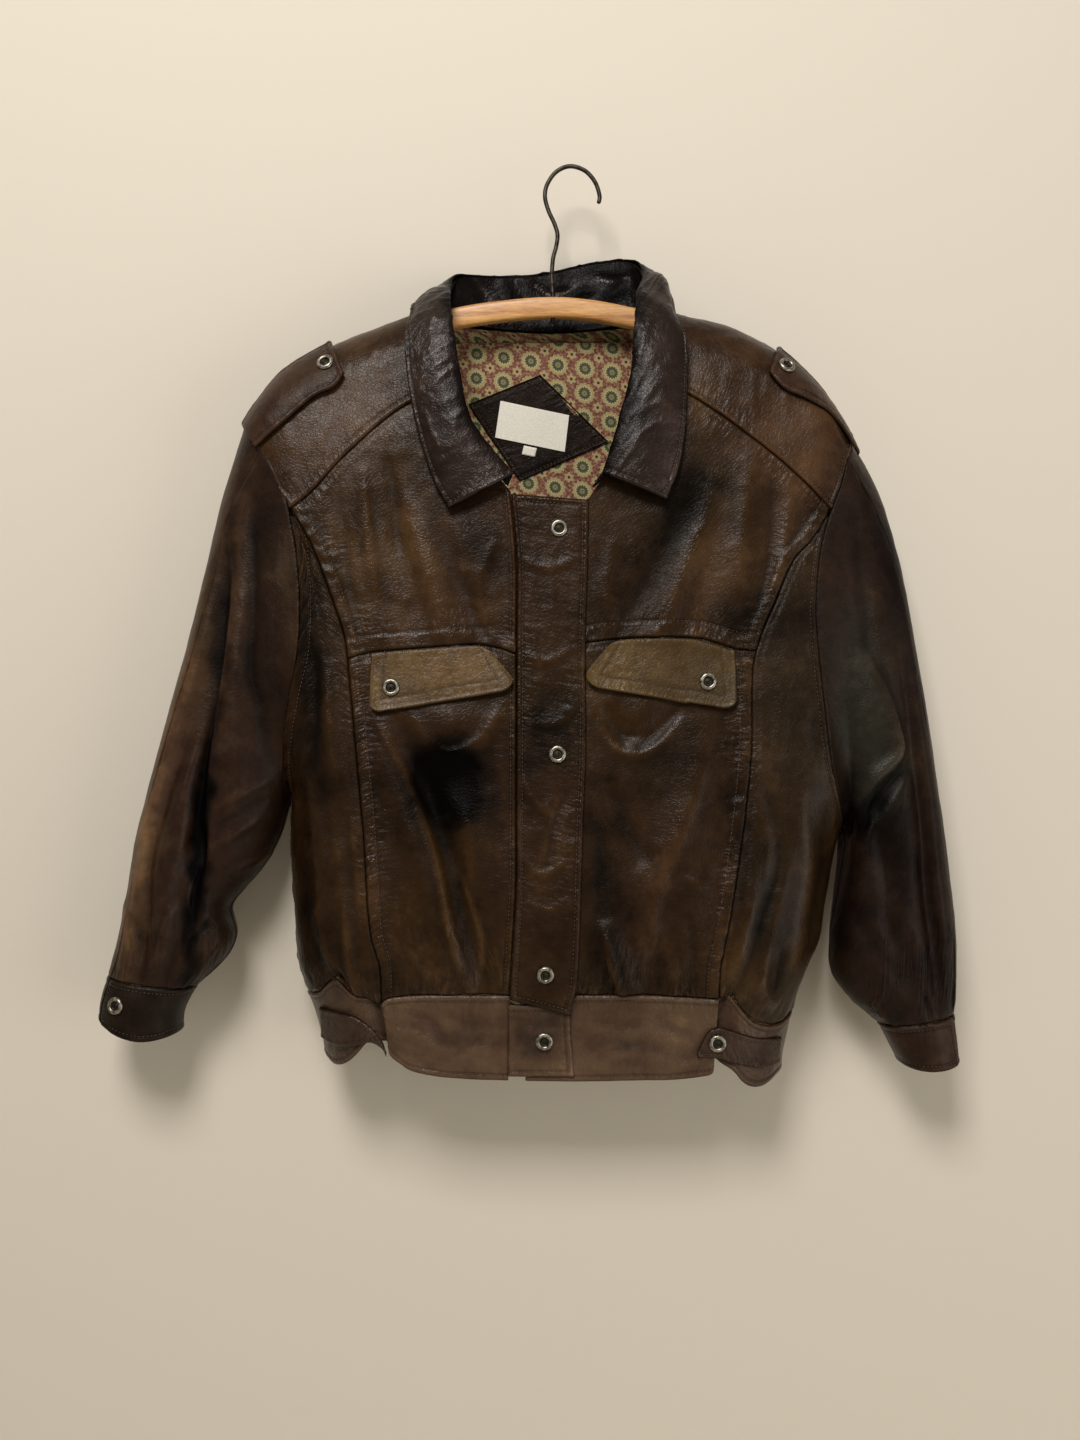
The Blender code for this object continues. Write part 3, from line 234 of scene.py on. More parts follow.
# creases laid one by one: points x, z along each, half-width, height, lean (steeper on one side)
creases = {
    "bodyFront": [
        ([(-166, -484), (-140, -530), (-122, -575), (-110, -620), (-102, -662), (-86, -712)], 5, 3.0, -0.5),
        ([(-140, -500), (-118, -555), (-98, -610), (-88, -660), (-72, -712)], 9, -3.5, 0),
        ([(-96, -608), (-82, -640), (-74, -676), (-82, -716)], 4, 2.6, 0.4),
        ([(-138, -478), (-116, -506), (-98, -512), (-76, -500), (-60, -472)], 6, 2.6, 0.4),
        ([(-90, -560), (-84, -600), (-86, -640)], 6, 1.6, 0),
        ([(-112, -318), (-96, -370), (-70, -420)], 10, -2.6, 0),
        ([(-142, -290), (-128, -340), (-112, -392), (-96, -430)], 9, 2.0, 0),
        ([(-176, -268), (-172, -320), (-164, -380)], 6, 1.8, 0.3),
        ([(-198, -290), (-192, -345), (-182, -400)], 6, -1.6, 0),
        ([(-158, -256), (-150, -300), (-146, -350)], 5, -1.5, 0),
        ([(-62, -330), (-78, -372), (-72, -410)], 5, 1.2, 0),
        ([(100, -290), (80, -340), (52, -392), (34, -430)], 12, -2.8, 0),
        ([(124, -270), (108, -330), (84, -390), (70, -428)], 9, 2.0, 0),
        ([(150, -262), (146, -320), (140, -380)], 7, 1.6, 0),
        ([(170, -280), (168, -330), (160, -390)], 6, -1.5, 0),
        ([(186, -300), (178, -345), (166, -380)], 5, 1.3, 0),
        ([(36, -330), (30, -370), (34, -404)], 6, 1.4, 0),
        ([(22, -468), (27, -494), (42, -511), (62, -512), (80, -498), (96, -474)], 3.5, 1.7, 0.4),
        ([(36, -490), (44, -499), (54, -497)], 3, -2.0, 0),
        ([(114, -484), (104, -540), (84, -590), (66, -640), (60, -700)], 12, 3.2, 0.3),
        ([(34, -540), (48, -580), (64, -606)], 9, -3.0, 0),
        ([(28, -662), (34, -688), (44, -716)], 3.5, 3.0, 0.5),
        ([(74, -660), (84, -690), (86, -716)], 5, 1.8, 0),
        ([(96, -640), (100, -680), (98, -716)], 5, -1.6, 0),
        ([(16, -560), (24, -600), (22, -650)], 6, -1.6, 0),
        ([(92, -617), (102, -620), (110, -628)], 3, 1.3, 0),
        ([(-206, -440), (-203, -490), (-196, -545)], 6, 2.5, 0),
        ([(-217, -420), (-214, -480), (-222, -540)], 6, -2.6, 0),
        ([(-226, -500), (-214, -570), (-208, -640), (-204, -690)], 7, 2.6, 0),
        ([(-190, -560), (-184, -620), (-178, -690)], 6, -2.6, 0),
        ([(-226, -600), (-222, -660), (-200, -712)], 6, -2.0, 0),
        ([(-214, -640), (-206, -670), (-196, -700)], 4, 2.0, 0),
        ([(160, -538), (172, -598), (150, -668), (134, -712)], 6, -3.0, 0),
        ([(188, -540), (196, -600), (190, -650), (182, -700)], 8, 2.6, 0),
        ([(216, -560), (214, -610), (206, -660), (200, -700)], 6, -2.4, 0),
        ([(152, -600), (146, -650), (136, -700)], 6, 2.0, 0),
        ([(180, -420), (176, -480), (168, -540)], 8, 1.6, 0),
        ([(196, -400), (200, -460), (206, -520)], 7, -1.6, 0),
        ([(-199, -690), (-190, -706), (-181, -722), (-172, -738)], 5, -6.0, 0.4),
        ([(-188, -640), (-184, -690), (-176, -722)], 5, 3.0, -0.3),
        ([(-214, -712), (-198, -724), (-182, -730)], 5, 2.5, 0),
        ([(131, -706), (136, -724), (150, -738), (170, -746)], 4, -3.5, 0.3),
        ([(150, -696), (160, -714), (172, -728)], 8, 3.0, 0),
        ([(178, -676), (175, -695), (172, -712)], 4, -2.5, 0),
        ([(162, -672), (159, -695), (156, -712)], 4, 2.2, 0)],
    "bodyBack": [
        ([(-150, -270), (-140, -380), (-118, -520), (-104, -712)], 12, 2.6, 0),
        ([(-60, -262), (-50, -400), (-58, -560), (-46, -712)], 14, -2.6, 0),
        ([(40, -262), (48, -420), (36, -600), (30, -712)], 12, 2.4, 0.3),
        ([(120, -280), (130, -420), (116, -580), (120, -712)], 12, -2.6, 0),
        ([(180, -320), (176, -440), (168, -600)], 9, 2.0, 0),
        ([(-196, -330), (-188, -450), (-176, -600)], 9, -2.0, 0),
        ([(-120, -640), (-40, -668), (60, -660)], 7, 1.6, 0.4),
        ([(20, -676), (90, -668), (150, -640)], 6, 1.4, 0),
        ([(-230, -520), (-190, -560), (-150, -620)], 7, 2.2, 0),
        ([(222, -540), (188, -580), (150, -640)], 7, 2.2, 0),
        ([(-236, -560), (-200, -610), (-170, -670)], 6, -1.8, 0),
        ([(226, -590), (190, -630), (166, -690)], 6, -1.8, 0)],
    "leftSleeveFront": [
        ([(-293, -345), (-300, -425), (-309, -491), (-314, -542), (-316, -612), (-322, -672)], 7, -13.0, 0.3),
        ([(-281, -384), (-286, -460), (-285, -545), (-290, -604)], 10, 3.0, 0),
        ([(-270, -300), (-269, -376), (-272, -439), (-265, -470), (-256, -520)], 6, -4.0, 0),
        ([(-286, -282), (-303, -350), (-319, -426), (-339, -502), (-349, -579), (-358, -656)], 13, 3.0, 0),
        ([(-303, -560), (-280, -548), (-255, -536)], 4, 1.6, 0),
        ([(-307, -595), (-286, -582), (-262, -567)], 4, 1.6, 0),
        ([(-297, -619), (-276, -610), (-255, -599)], 4, 1.4, 0),
        ([(-304, -578), (-284, -566), (-258, -552)], 4, -1.4, 0),
        ([(-338, -640), (-349, -678), (-362, -712)], 5, 3.0, -0.4),
        ([(-328, -643), (-336, -681), (-347, -715)], 5, -3.4, 0),
        ([(-300, -672), (-312, -690), (-322, -708)], 4, 2.5, 0),
        ([(-304, -656), (-316, -668), (-330, -690)], 4, -3.0, 0),
        ([(-376, -647), (-366, -670), (-364, -700)], 5, -2.0, 0),
        ([(-384, -640), (-380, -670), (-386, -704)], 5, 1.8, 0)],
    "leftSleeveBack": [
        ([(-300, -330), (-312, -430), (-326, -540), (-340, -650)], 10, -5.0, 0),
        ([(-276, -360), (-284, -470), (-296, -590)], 9, 3.0, 0),
        ([(-370, -520), (-330, -545), (-300, -540)], 6, 2.4, 0.4),
        ([(-380, -570), (-340, -590), (-304, -580)], 6, -2.4, 0),
        ([(-380, -650), (-372, -675), (-368, -704)], 5, -2.4, 0),
        ([(-350, -650), (-346, -680), (-346, -706)], 5, 2.4, 0)],
    "rightSleeveFront": [
        ([(251, -431), (271, -477), (277, -514), (256, -537), (240, -560)], 6, 5.5, 0.5),
        ([(286, -522), (266, -546), (250, -570), (238, -588)], 6, -7.0, 0),
        ([(239, -298), (247, -375), (256, -435), (284, -511)], 7, -3.5, 0),
        ([(274, -332), (292, -417), (301, -502), (309, -588)], 12, 2.5, 0),
        ([(250, -600), (270, -640), (296, -676)], 9, 2.2, 0),
        ([(236, -640), (258, -680), (288, -712)], 7, -2.2, 0),
        ([(300, -600), (306, -660), (312, -712)], 7, -1.8, 0),
        ([(220, -680), (222, -700), (229, -710)], 3, 2.2, 0.4),
        ([(300, -720), (304, -730), (307, -742)], 3, -2.5, 0),
        ([(258, -724), (264, -734), (270, -742)], 3, 2.2, 0)],
    "rightSleeveBack": [
        ([(262, -340), (276, -440), (290, -560), (300, -680)], 10, -5.0, 0),
        ([(244, -400), (252, -500), (258, -620)], 9, 3.0, 0),
        ([(320, -540), (290, -560), (250, -552)], 6, 2.4, 0.4),
        ([(326, -600), (290, -618), (246, -606)], 6, -2.4, 0),
        ([(320, -680), (318, -705), (316, -730)], 5, -2.4, 0),
        ([(286, -690), (285, -715), (284, -740)], 5, 2.2, 0)],
    }
# swells and hollows: x, z, reach across, reach up, height
swells = {
    "bodyFront": [(-104, -488, 34, 17, 3.0), (-100, -535, 30, 24, -3.5), (60, -484, 27, 16, 2.0),
        (-120, -350, 46, 60, 2.0), (120, -350, 40, 60, 2.0), (96, -560, 30, 60, 1.5)],
    "bodyBack": [(-90, -340, 60, 50, 2.0), (90, -350, 60, 60, 2.0), (0, -640, 90, 40, 2.5)],
    "rightSleeveFront": [(250, -480, 22, 48, 4.0)],
    }
# stains, rubbed and faded places, and painted shade, shadow, highlight and sheen on folds and under the
# collar points: x, z, reach across, reach up, tilt in degrees, tone, hue (- cool, + red)
patches = {
    "bodyFront": [
        (-103, -533, 27, 32, 10, -0.80, 0.0), (-120, -527, 16, 12, 0, -0.40, 0.0),
        # (78, -340) and (98, -296): the dark below the right collar point is partly stain and partly painted
        # shadow
        (-92, -556, 16, 18, 0, -0.20, 0), (78, -340, 24, 78, -32, -0.17, 0), (98, -296, 18, 34, -12, -0.12,
            0),
        # (-86, -330): painted shadow below the left collar point
        (-86, -330, 22, 60, 24, -0.16, 0), (-130, -352, 42, 60, 10, 0.12, 0), (120, -360, 32, 60, -8, 0.10,
            0.3),
        (92, -590, 20, 70, -22, 0.07, 0.2), (64, -650, 26, 50, 0, 0.03, 0.3), (-128, -640, 18, 70, 8, 0.07,
            0),
        (-62, -560, 10, 90, 0, -0.05, 0.3), (-220, -560, 22, 160, 0, -0.16, 0.1), (205, -470, 34, 120, 0,
            -0.08, 0),
        (196, -620, 20, 80, 0, 0.02, 0), (152, -620, 16, 90, 8, -0.16, -0.1), (150, -400, 30, 20, 0, -0.18,
            0),
        (-216, -420, 18, 60, 0, -0.16, -0.1), (122, -620, 10, 90, 4, 0.05, 0.2), (-190, -250, 36, 40, -30,
            0.10, 0.5),
        (168, -250, 44, 44, 30, 0.12, 0.6), (30, -600, 18, 70, 0, -0.10, 0.2),
        # (188, -300): painted highlight near the top of the right armhole seam
        (188, -300, 14, 44, -25, 0.12, 0.4), (-196, -330, 12, 50, 22, 0.12, 0.1)],
    "bodyBack": [(-60, -420, 80, 120, 0, 0.08, 0.1), (110, -520, 60, 120, 10, -0.10, 0.2),
        (-150, -600, 50, 90, 0, -0.12, 0), (20, -640, 90, 40, 0, 0.06, 0.3),
        (40, -320, 70, 40, 0, 0.06, 0.3), (150, -330, 40, 60, 0, -0.08, 0), (-40, -560, 26, 30, 0, -0.16, 0)],
    # left sleeve: the lighter bands at (-330, -440) and (-368, -600) down the outer side are painted light,
    # and the long darks at (-304, -480) and (-316, -610) along the deep fold are painted shade
    "leftSleeveFront": [(-330, -440, 13, 190, -12, 0.18, 0.0), (-368, -600, 13, 110, -10, 0.26, -0.3),
        (-262, -400, 16, 150, 2, -0.14, 0.1), (-304, -480, 8, 150, -6, -0.26, 0),
        (-316, -610, 8, 110, -5, -0.40, 0), (-284, -350, 8, 90, -6, 0.12, 0.1),
        (-284, -600, 20, 60, -12, -0.08, 0.1), (-340, -690, 40, 26, 0, -0.06, 0.3)],
    "leftSleeveBack": [(-330, -460, 30, 140, 10, 0.06, 0.4), (-300, -600, 40, 70, 0, -0.10, 0.2)],
    # right sleeve: the cool grey patch on the upper bulge at (246, -470), carried over the ledge by the entry
    # at (268, -540), is painted sheen, and the dark at (250, -566) under the ledge is painted shadow
    "rightSleeveFront": [(246, -470, 24, 96, 4, 0.10, -1.2), (250, -566, 30, 24, -40, -0.34, -0.1),
        (268, -540, 22, 34, -30, 0.0, -1.0),
        (296, -420, 18, 120, 8, -0.14, 0.5), (280, -640, 50, 70, 0, -0.10, 0.4),
        (228, -620, 12, 60, 0, -0.20, 0.2), (262, -330, 14, 50, 8, -0.10, 0.5)],
    "rightSleeveBack": [(290, -460, 26, 130, 0, -0.08, 0.3), (270, -640, 40, 60, 0, 0.04, 0.2)],
    "collar": [(80, -240, 14, 60, 0, 0.05, 0.3), (-110, -230, 14, 60, 0, 0.0, 0)],
    }
# seams: how far the edge dips, the ridge of the turned allowance, its width, and the puckers beside it
seamKinds = {
    "none": {"dip": 0.0, "rise": 0.0, "width": 5.0, "dent": 0.0, "pucker": 0.0, "reach": 10.0, "pitch": 7.0},
    "plain": {"dip": 0.6, "rise": 0.15, "width": 5.0, "dent": 0.0, "pucker": 0.35, "reach": 9.0,
        "pitch": 7.0},
    "stitched": {"dip": 0.7, "rise": 0.55, "width": 5.0, "dent": 0.5, "pucker": 0.6, "reach": 11.0,
        "pitch": 6.5},
    "lip": {"dip": 0.3, "rise": 1.2, "width": 10.0, "dent": 0.2, "pucker": 1.25, "reach": 15.0, "pitch": 6.5},
    "band": {"dip": 0.3, "rise": 1.0, "width": 10.0, "dent": 0.2, "pucker": 1.5, "reach": 22.0, "pitch": 6.5},
    "under": {"dip": 1.5, "rise": -0.6, "width": 6.0, "dent": 0.0, "pucker": 0.7, "reach": 12.0,
        "pitch": 7.0},
    "tuck": {"dip": 0.5, "rise": 0.5, "width": 14.0, "dent": 0.5, "pucker": 1.9, "reach": 13.0, "pitch": 8.0},
    "gathered": {"dip": 1.6, "rise": 0.0, "width": 6.0, "dent": 0.0, "pucker": 2.0, "reach": 34.0,
        "pitch": 15.0},
    "hem": {"dip": 0.5, "rise": 0.3, "width": 5.0, "dent": 0.45, "pucker": 0.5, "reach": 9.0, "pitch": 8.0},
    "piped": {"dip": 0.2, "rise": 0.9, "width": 2.0, "dent": 0.3, "pucker": 0.25, "reach": 9.0, "pitch": 7.0},
    }
stitchLines = {}
seats = {}


def creaseRelief(group, x, z):
    total = np.zeros_like(x)
    for points, width, height, lean in creases.get(group, []):
        line = walk(points, np.linspace(0, 1, 6 * len(points)))
        room = 3.2 * width
        near = ((x > line[:, 0].min() - room) & (x < line[:, 0].max() + room)
            & (z > line[:, 1].min() - room) & (z < line[:, 1].max() + room))
        if not near.any():
            continue
        px, pz = x[near], z[near]
        best = np.full(px.shape, 1e9)
        side = np.zeros_like(px)
        place = np.zeros_like(px)
        for k in range(len(line) - 1):
            ax, az = line[k]
            runX, runZ = line[k + 1] - line[k]
            long2 = max(runX ** 2 + runZ ** 2, 1e-9)
            t = np.clip(((px - ax) * runX + (pz - az) * runZ) / long2, 0, 1)
            dx, dz = px - ax - t * runX, pz - az - t * runZ
            distance = np.hypot(dx, dz)
            closer = distance < best
            best = np.where(closer, distance, best)
            side = np.where(closer, np.sign(dx * runZ - dz * runX), side)
            place = np.where(closer, (k + t) / (len(line) - 1), place)
        fade = np.clip(np.sin(math.pi * np.clip(place, 0.02, 0.98)), 0, 1) ** 0.55
        total[near] += height * fade * np.exp(-(best / (width * (1 + lean * side))) ** 2)
    for cx, cz, rx, rz, height in swells.get(group, []):
        total += height * np.exp(-((x - cx) / rx) ** 2 - ((z - cz) / rz) ** 2)
    return total


def patchTones(group, x, z):
    tone = np.zeros_like(x)
    hue = np.zeros_like(x)
    wobble = 5 * noise(x / 17, z / 17, 3) + 2.5 * noise(x / 7, z / 7, 4)
    for cx, cz, rx, rz, tilt, amount, warmth in patches.get(group, []):
        a = math.radians(tilt)
        dx, dz = x - cx + wobble, z - cz + wobble
        u, v = dx * math.cos(a) + dz * math.sin(a), dz * math.cos(a) - dx * math.sin(a)
        weight = np.exp(-((u / rx) ** 2 + (v / rz) ** 2) ** 1.3)
        tone += amount * weight
        hue += warmth * weight
    return tone, hue


# the thickness and the nap of hung leather: broad waves, slubs and fine pinches
def skin(x, z, seed, amount):
    waves = 0.8 * noise(x / 55, z / 130, seed) + 0.45 * noise(x / 24, z / 52, seed + 1)
    pinches = 1 - np.abs(noise(x / 19 + 0.5 * noise(x / 30, z / 30, seed + 4), z / 27, seed + 2)) * 2
    fine = 0.16 * noise(x / 8, z / 11, seed + 3)
    return amount * (waves + 0.35 * np.maximum(pinches, 0) ** 3 + fine)


def seamRelief(distance, along, kind, seed):
    k = seamKinds[kind]
    edge = -k["dip"] * np.exp(-(distance / 1.1) ** 2)
    turned = k["rise"] * smooth(distance, 0.3, 1.6) * (1 - smooth(distance, k["width"] - 1.0,
            k["width"] + 2.0))
    dent = -k["dent"] * np.exp(-((distance - k["width"]) / 0.8) ** 2)
    slant = along + 0.3 * distance
    ripple = (noise(slant / k["pitch"], distance / (2.2 * k["pitch"]), seed)
        + 0.5 * noise(slant / (0.45 * k["pitch"]), distance / k["pitch"], seed + 5))
    strength = 0.5 + 0.5 * noise(along / 45, along / 45, seed + 9)
    pucker = 0.5 * k["pucker"] * np.exp(-(distance / k["reach"]) ** 1.6) * ripple * (0.45 + 0.9 * strength)
    return edge + turned + dent + pucker


# fractions along a piece, close together near its two edges
def stations(length, step):
    near = [0.0, 0.5, 1.2, 2.1, 3.2, 4.4, 5.6, 7.0]
    if length < 3 * near[-1]:
        return np.linspace(0, 1, max(3, int(round(length / 1.6))) + 1)
    count = max(2, int(round((length - 2 * near[-1]) / step)))
    middle = np.linspace(near[-1], length - near[-1], count + 1)
    return np.concatenate([near[:-1], middle, length - np.array(near[:-1])[::-1]]) / length


def arcs(points):
    across = np.linalg.norm(np.diff(points, axis=0), axis=-1)
    along = np.linalg.norm(np.diff(points, axis=1), axis=-1)
    u = np.concatenate([np.zeros((1, points.shape[1])), np.cumsum(across, axis=0)], axis=0)
    v = np.concatenate([np.zeros((points.shape[0], 1)), np.cumsum(along, axis=1)], axis=1)
    return u, v


def blurred(field, times=6):
    for _ in range(times):
        padded = np.pad(field, 1, mode="edge")
        field = (padded[:-2, 1:-1] + padded[2:, 1:-1] + padded[1:-1, :-2] + padded[1:-1, 2:] + 2 * field) / 6
    return field


def gridNormals(points, towards=None):
    du = np.gradient(points, axis=0)
    dv = np.gradient(points, axis=1)
    normals = unit(np.cross(du, dv))
    if towards is not None:
        middle = normals[normals.shape[0] // 2, normals.shape[1] // 2]
        if middle @ np.array(towards, float) < 0:
            normals = -normals
    return normals


# least side of a sheet, 10 mm, and least area, 0.3 of width times length; the right sleeve front, being
# slanted, has less than that area; a slanted piece with less, the right sleeve front, is declared with
# that least area
sheetLimits = {"side": 0.01, "share": 0.3}


# one closed shell of cloth on the points base, given outward normals; look says seams, folds and finish
def clothShell(name, base, normal, look):
    seams = look.get("seams", ("plain",) * 4)
    seed = look.get("seed", 1)
    wall = look.get("wall", cloth["wall"])
    gap = look.get("gap", cloth["gap"])
    u, v = arcs(base)
    flatWidth, flatLength = u[-1].max(), v[:, -1].max()
    cells = np.linalg.norm(np.cross(base[1:, :-1] - base[:-1, :-1], base[:-1, 1:] - base[:-1, :-1]), axis=-1)
    flatArea = cells.sum()
    x, z = base[..., 0], base[..., 2]
    facing = smooth(-normal[..., 1], -0.3, 0.3)
    front, back = look.get("groups", ("bodyFront", "bodyBack"))
    relief = creaseRelief(front, x, z) * facing + creaseRelief(back, x, z) * (1 - facing)
    relief = relief * look.get("folds", 1.0)
    worn = skin(x + 40 * seed, z + 1.6 * base[..., 1], seed, look.get("skin", 1.0))
    sides = ((u, v), (u[-1:] - u, v), (v, u), (v[:, -1:] - v, u))
    edges = sum(seamRelief(d, along, kind, seed + 7 * k)
        for k, ((d, along), kind) in enumerate(zip(sides, seams)))
    nearest = np.minimum.reduce([d for (d, _), kind in zip(sides, seams) if kind != "none"]
        or [np.full_like(x, 99.0)])
    height = relief + worn * smooth(nearest, 0, 14) + edges + look.get("shape", 0.0)
    sewn = [kind in ("stitched", "lip", "band", "tuck", "hem", "piped") for kind in seams]
    insets = [look.get("inset", seamKinds[kind]["width"]) for kind in seams]
    groove = np.zeros_like(x)
    for k in range(4):
        if sewn[k]:
            clear = np.minimum.reduce([sides[end][0] - (insets[end] - 1 if sewn[end] else -99)
                    for end in ((2, 3) if k < 2 else (0, 1))])
            groove = np.maximum(groove, np.exp(-((sides[k][0] - insets[k]) / 0.9) ** 2) * smooth(clear, -1,
                    1))
    height = height - 0.45 * groove
    toneFront, hueFront = patchTones(front, x, z)
    toneBack, hueBack = patchTones(back, x, z)
    # crest and broad push the tone up on the relief's crests and down in its hollows, over small and broad
    # folds: partly rubbed wear, partly painted highlight and painted shade; they also set rub, which only
    # changes roughness
    crest = height - blurred(height, 10)
    broad = blurred(height, 3) - blurred(height, 60)
    tone = (look.get("tone", 0.0) + toneFront * facing + toneBack * (1 - facing) + 0.10 * np.clip(crest,
            -1.2, 1.2)
        + 0.016 * np.clip(broad, -3, 3) - 0.20 * np.exp(-(nearest / 0.8) ** 2))
    tone = tone + look.get("shade", 0.0) - 0.10 * groove
    gathers = []
    for pair in (0, 2):
        pull = sum(seamKinds[kind]["pucker"] * np.exp(-(d / (1.25 * seamKinds[kind]["reach"])) ** 1.5)
            * (0.55 + 0.9 * noise(along / 30, d / 30, seed + 13 + k))
            for k, ((d, along), kind) in enumerate(zip(sides[pair:pair + 2], seams[pair:pair + 2])))
        gathers.append(np.maximum(pull, 0) * look.get("drawn", 1.0) + look.get("gather", (0.0,
                    0.0))[pair // 2])
    hue = look.get("hue", 0.0) + hueFront * facing + hueBack * (1 - facing)
    rub = np.clip(0.5 + 0.55 * crest + 0.10 * broad, 0, 1)

    placed = base.copy()
    if gap:
        placed[0] += unit(base[1] - base[0]) * gap
        placed[-1] += unit(base[-2] - base[-1]) * gap
        placed[:, 0] += unit(base[:, 1] - base[:, 0]) * gap
        placed[:, -1] += unit(base[:, -2] - base[:, -1]) * gap
    outer = placed + normal * (look.get("lift", 0.0) + height)[..., None]
    inner = outer - normal * wall
    proud = outer - normal * (wall + 0.12) if look.get("stitchInside") else outer + normal * 0.12
    for k, kind in enumerate(seams):
        if sewn[k] and look.get("thread"):
            inset = insets[k]
            ends = (2, 3) if k < 2 else (0, 1)
            clear = np.minimum.reduce([sides[end][0] - (inset - 1 if sewn[end] else -99) for end in ends])
            layStitches(look["thread"], proud, sides[k][0], clear, k, inset)
    item = shellObject(name, outer, inner, normal, (tone, rub, hue, *gathers), (u, v), look)
    seats[name] = (outer.reshape(-1, 3), normal.reshape(-1, 3))
    flat = (flatWidth / 1000, flatLength / 1000)
    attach(item, "root")
    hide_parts(look.get("node", name))
    look.get("slot", "leather_brown")
    if min(flat) > sheetLimits["side"]:    # the size tab is too small to count as cloth
        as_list(look.get("restsOn", ["hanger_bar"]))
    cuts.append((name, round(flatWidth), round(flatLength), round(flatArea / 100)))
    return item


# a line of stitches at a set distance from one side of a shell, kept clear of the lines that cross it
def layStitches(thread, points, distance, clear, side, inset):
    rows = points if side < 2 else points.transpose(1, 0, 2)
    gaps, room = (distance, clear) if side < 2 else (distance.T, clear.T)
    if side in (1, 3):
        rows, gaps, room = rows[::-1], gaps[::-1], room[::-1]
    line = []
    for j in range(rows.shape[1]):
        if gaps[-1, j] > inset + 1 and np.interp(inset, gaps[:, j], room[:, j]) >= 0:
            line.append([np.interp(inset, gaps[:, j], rows[:, j, axis]) for axis in range(3)])
    if len(line) > 4:
        stitchLines.setdefault(thread, []).append(np.array(line))


def shellObject(name, outer, inner, normal, attributes, lengths, look):
    columns, rows = outer.shape[:2]
    count = columns * rows
    index = np.arange(count).reshape(columns, rows)
    a, b, c, d = index[:-1, :-1], index[1:, :-1], index[1:, 1:], index[:-1, 1:]
    quads = np.stack([a, b, c, d], -1).reshape(-1, 4)
    middle = (columns // 2, rows // 2)
    turn = np.cross(outer[middle[0], middle[1] - 1] - outer[middle[0] - 1, middle[1] - 1],
        outer[middle[0] - 1, middle[1]] - outer[middle[0] - 1, middle[1] - 1])
    if turn @ normal[middle[0] - 1, middle[1] - 1] < 0:
        quads = quads[:, ::-1]
    ring = np.concatenate([index[:-1, 0], index[-1, :-1], index[:0:-1, -1], index[0, :0:-1]])
    after = np.roll(ring, -1)
    rim = np.stack([after, ring, ring + count, after + count], -1)
    if turn @ normal[middle[0] - 1, middle[1] - 1] < 0:
        rim = rim[:, ::-1]
    faces = np.concatenate([quads, quads[:, ::-1] + count, rim])
    mesh = bpy.data.meshes.new(name)
    points = np.concatenate([outer.reshape(-1, 3), inner.reshape(-1, 3)]) * 0.001
    mesh.from_pydata(points.tolist(), [], faces.tolist())
    uv = mesh.uv_layers.new(name="UVMap")
    spread = np.stack([lengths[0].ravel(), lengths[1].ravel()], -1) * 0.001
    spread = np.concatenate([spread, spread])
    loops = np.empty(len(mesh.loops), int)
    mesh.loops.foreach_get("vertex_index", loops)
    uv.data.foreach_set("uv", spread[loops].astype(np.float32).ravel())
    for label, field in zip(("tone", "rub", "hue", "gatherU", "gatherV"), attributes):
        attribute = mesh.attributes.new(label, "FLOAT", "POINT")
        values = np.broadcast_to(field, (columns, rows)).ravel()
        attribute.data.foreach_set("value", np.concatenate([values, values]).astype(np.float32))
    mesh.materials.append(finishes[look.get("finish", "body leather")])
    mesh.materials.append(finishes[look.get("inside", "lining cloth")])
    inside = np.zeros(len(faces), np.int32)
    inside[len(quads):2 * len(quads)] = 1
    mesh.polygons.foreach_set("material_index", inside)
    mesh.polygons.foreach_set("use_smooth", np.ones(len(faces), bool))
    mesh.update()
    item = bpy.data.objects.new(name + "_look", mesh)
    bpy.context.scene.collection.objects.link(item)
    return item


# a piece whose outer face is place(u, v), sized up first so that its cells are about one step
def panel(name, place, look):
    coarse = np.linspace(0, 1, 25)
    u, v = arcs(place(*np.meshgrid(coarse, coarse, indexing="ij")))
    step = look.get("step", cloth["step"])
    us, vs = stations(u[-1].max(), step), stations(v[:, -1].max(), step)
    U, V = np.meshgrid(us, vs, indexing="ij")
    base = place(U, V)
    towards = look.get("normal", bodyNormal)
    normal = towards(base, U, V)
    for key in ("shape", "shade"):
        if key in look:
            look = dict(look, **{key: look[key](U, V, base, *arcs(base))})
    return clothShell(name, base, normal, look)


def onFront(points, u, v):
    return bodyNormal(points, False)


def onBack(points, u, v):
    return bodyNormal(points, True)


cuts = []
finishes = {}


# sRGB hex to linear colour
def linear(text):
    parts = [int(text[k:k + 2], 16) / 255 for k in (1, 3, 5)]
    return tuple(c / 12.92 if c <= 0.04045 else ((c + 0.055) / 1.055) ** 2.4 for c in parts) + (1.0,)


def addNode(tree, kind, inputs=None, stops=None, **settings):
    node = tree.nodes.new(kind)
    for key, value in settings.items():
        setattr(node, key, value)
    for key, value in (inputs or {}).items():
        if isinstance(value, bpy.types.NodeSocket):
            tree.links.new(value, node.inputs[key])
        else:
            node.inputs[key].default_value = value
    if stops:
        ramp = node.color_ramp
        while len(ramp.elements) < len(stops):
            ramp.elements.new(0.5)
        for element, (place, colour) in zip(ramp.elements, stops):
            element.position = place
            element.color = linear(colour)
    return node


def newMaterial(name):
    material = bpy.data.materials.new(name)
    material.use_nodes = True
    material.node_tree.nodes.clear()
    tree = material.node_tree
    shader = addNode(tree, "ShaderNodeBsdfPrincipled")
    addNode(tree, "ShaderNodeOutputMaterial", {"Surface": shader.outputs[0]})
    finishes[name] = material
    return tree, shader
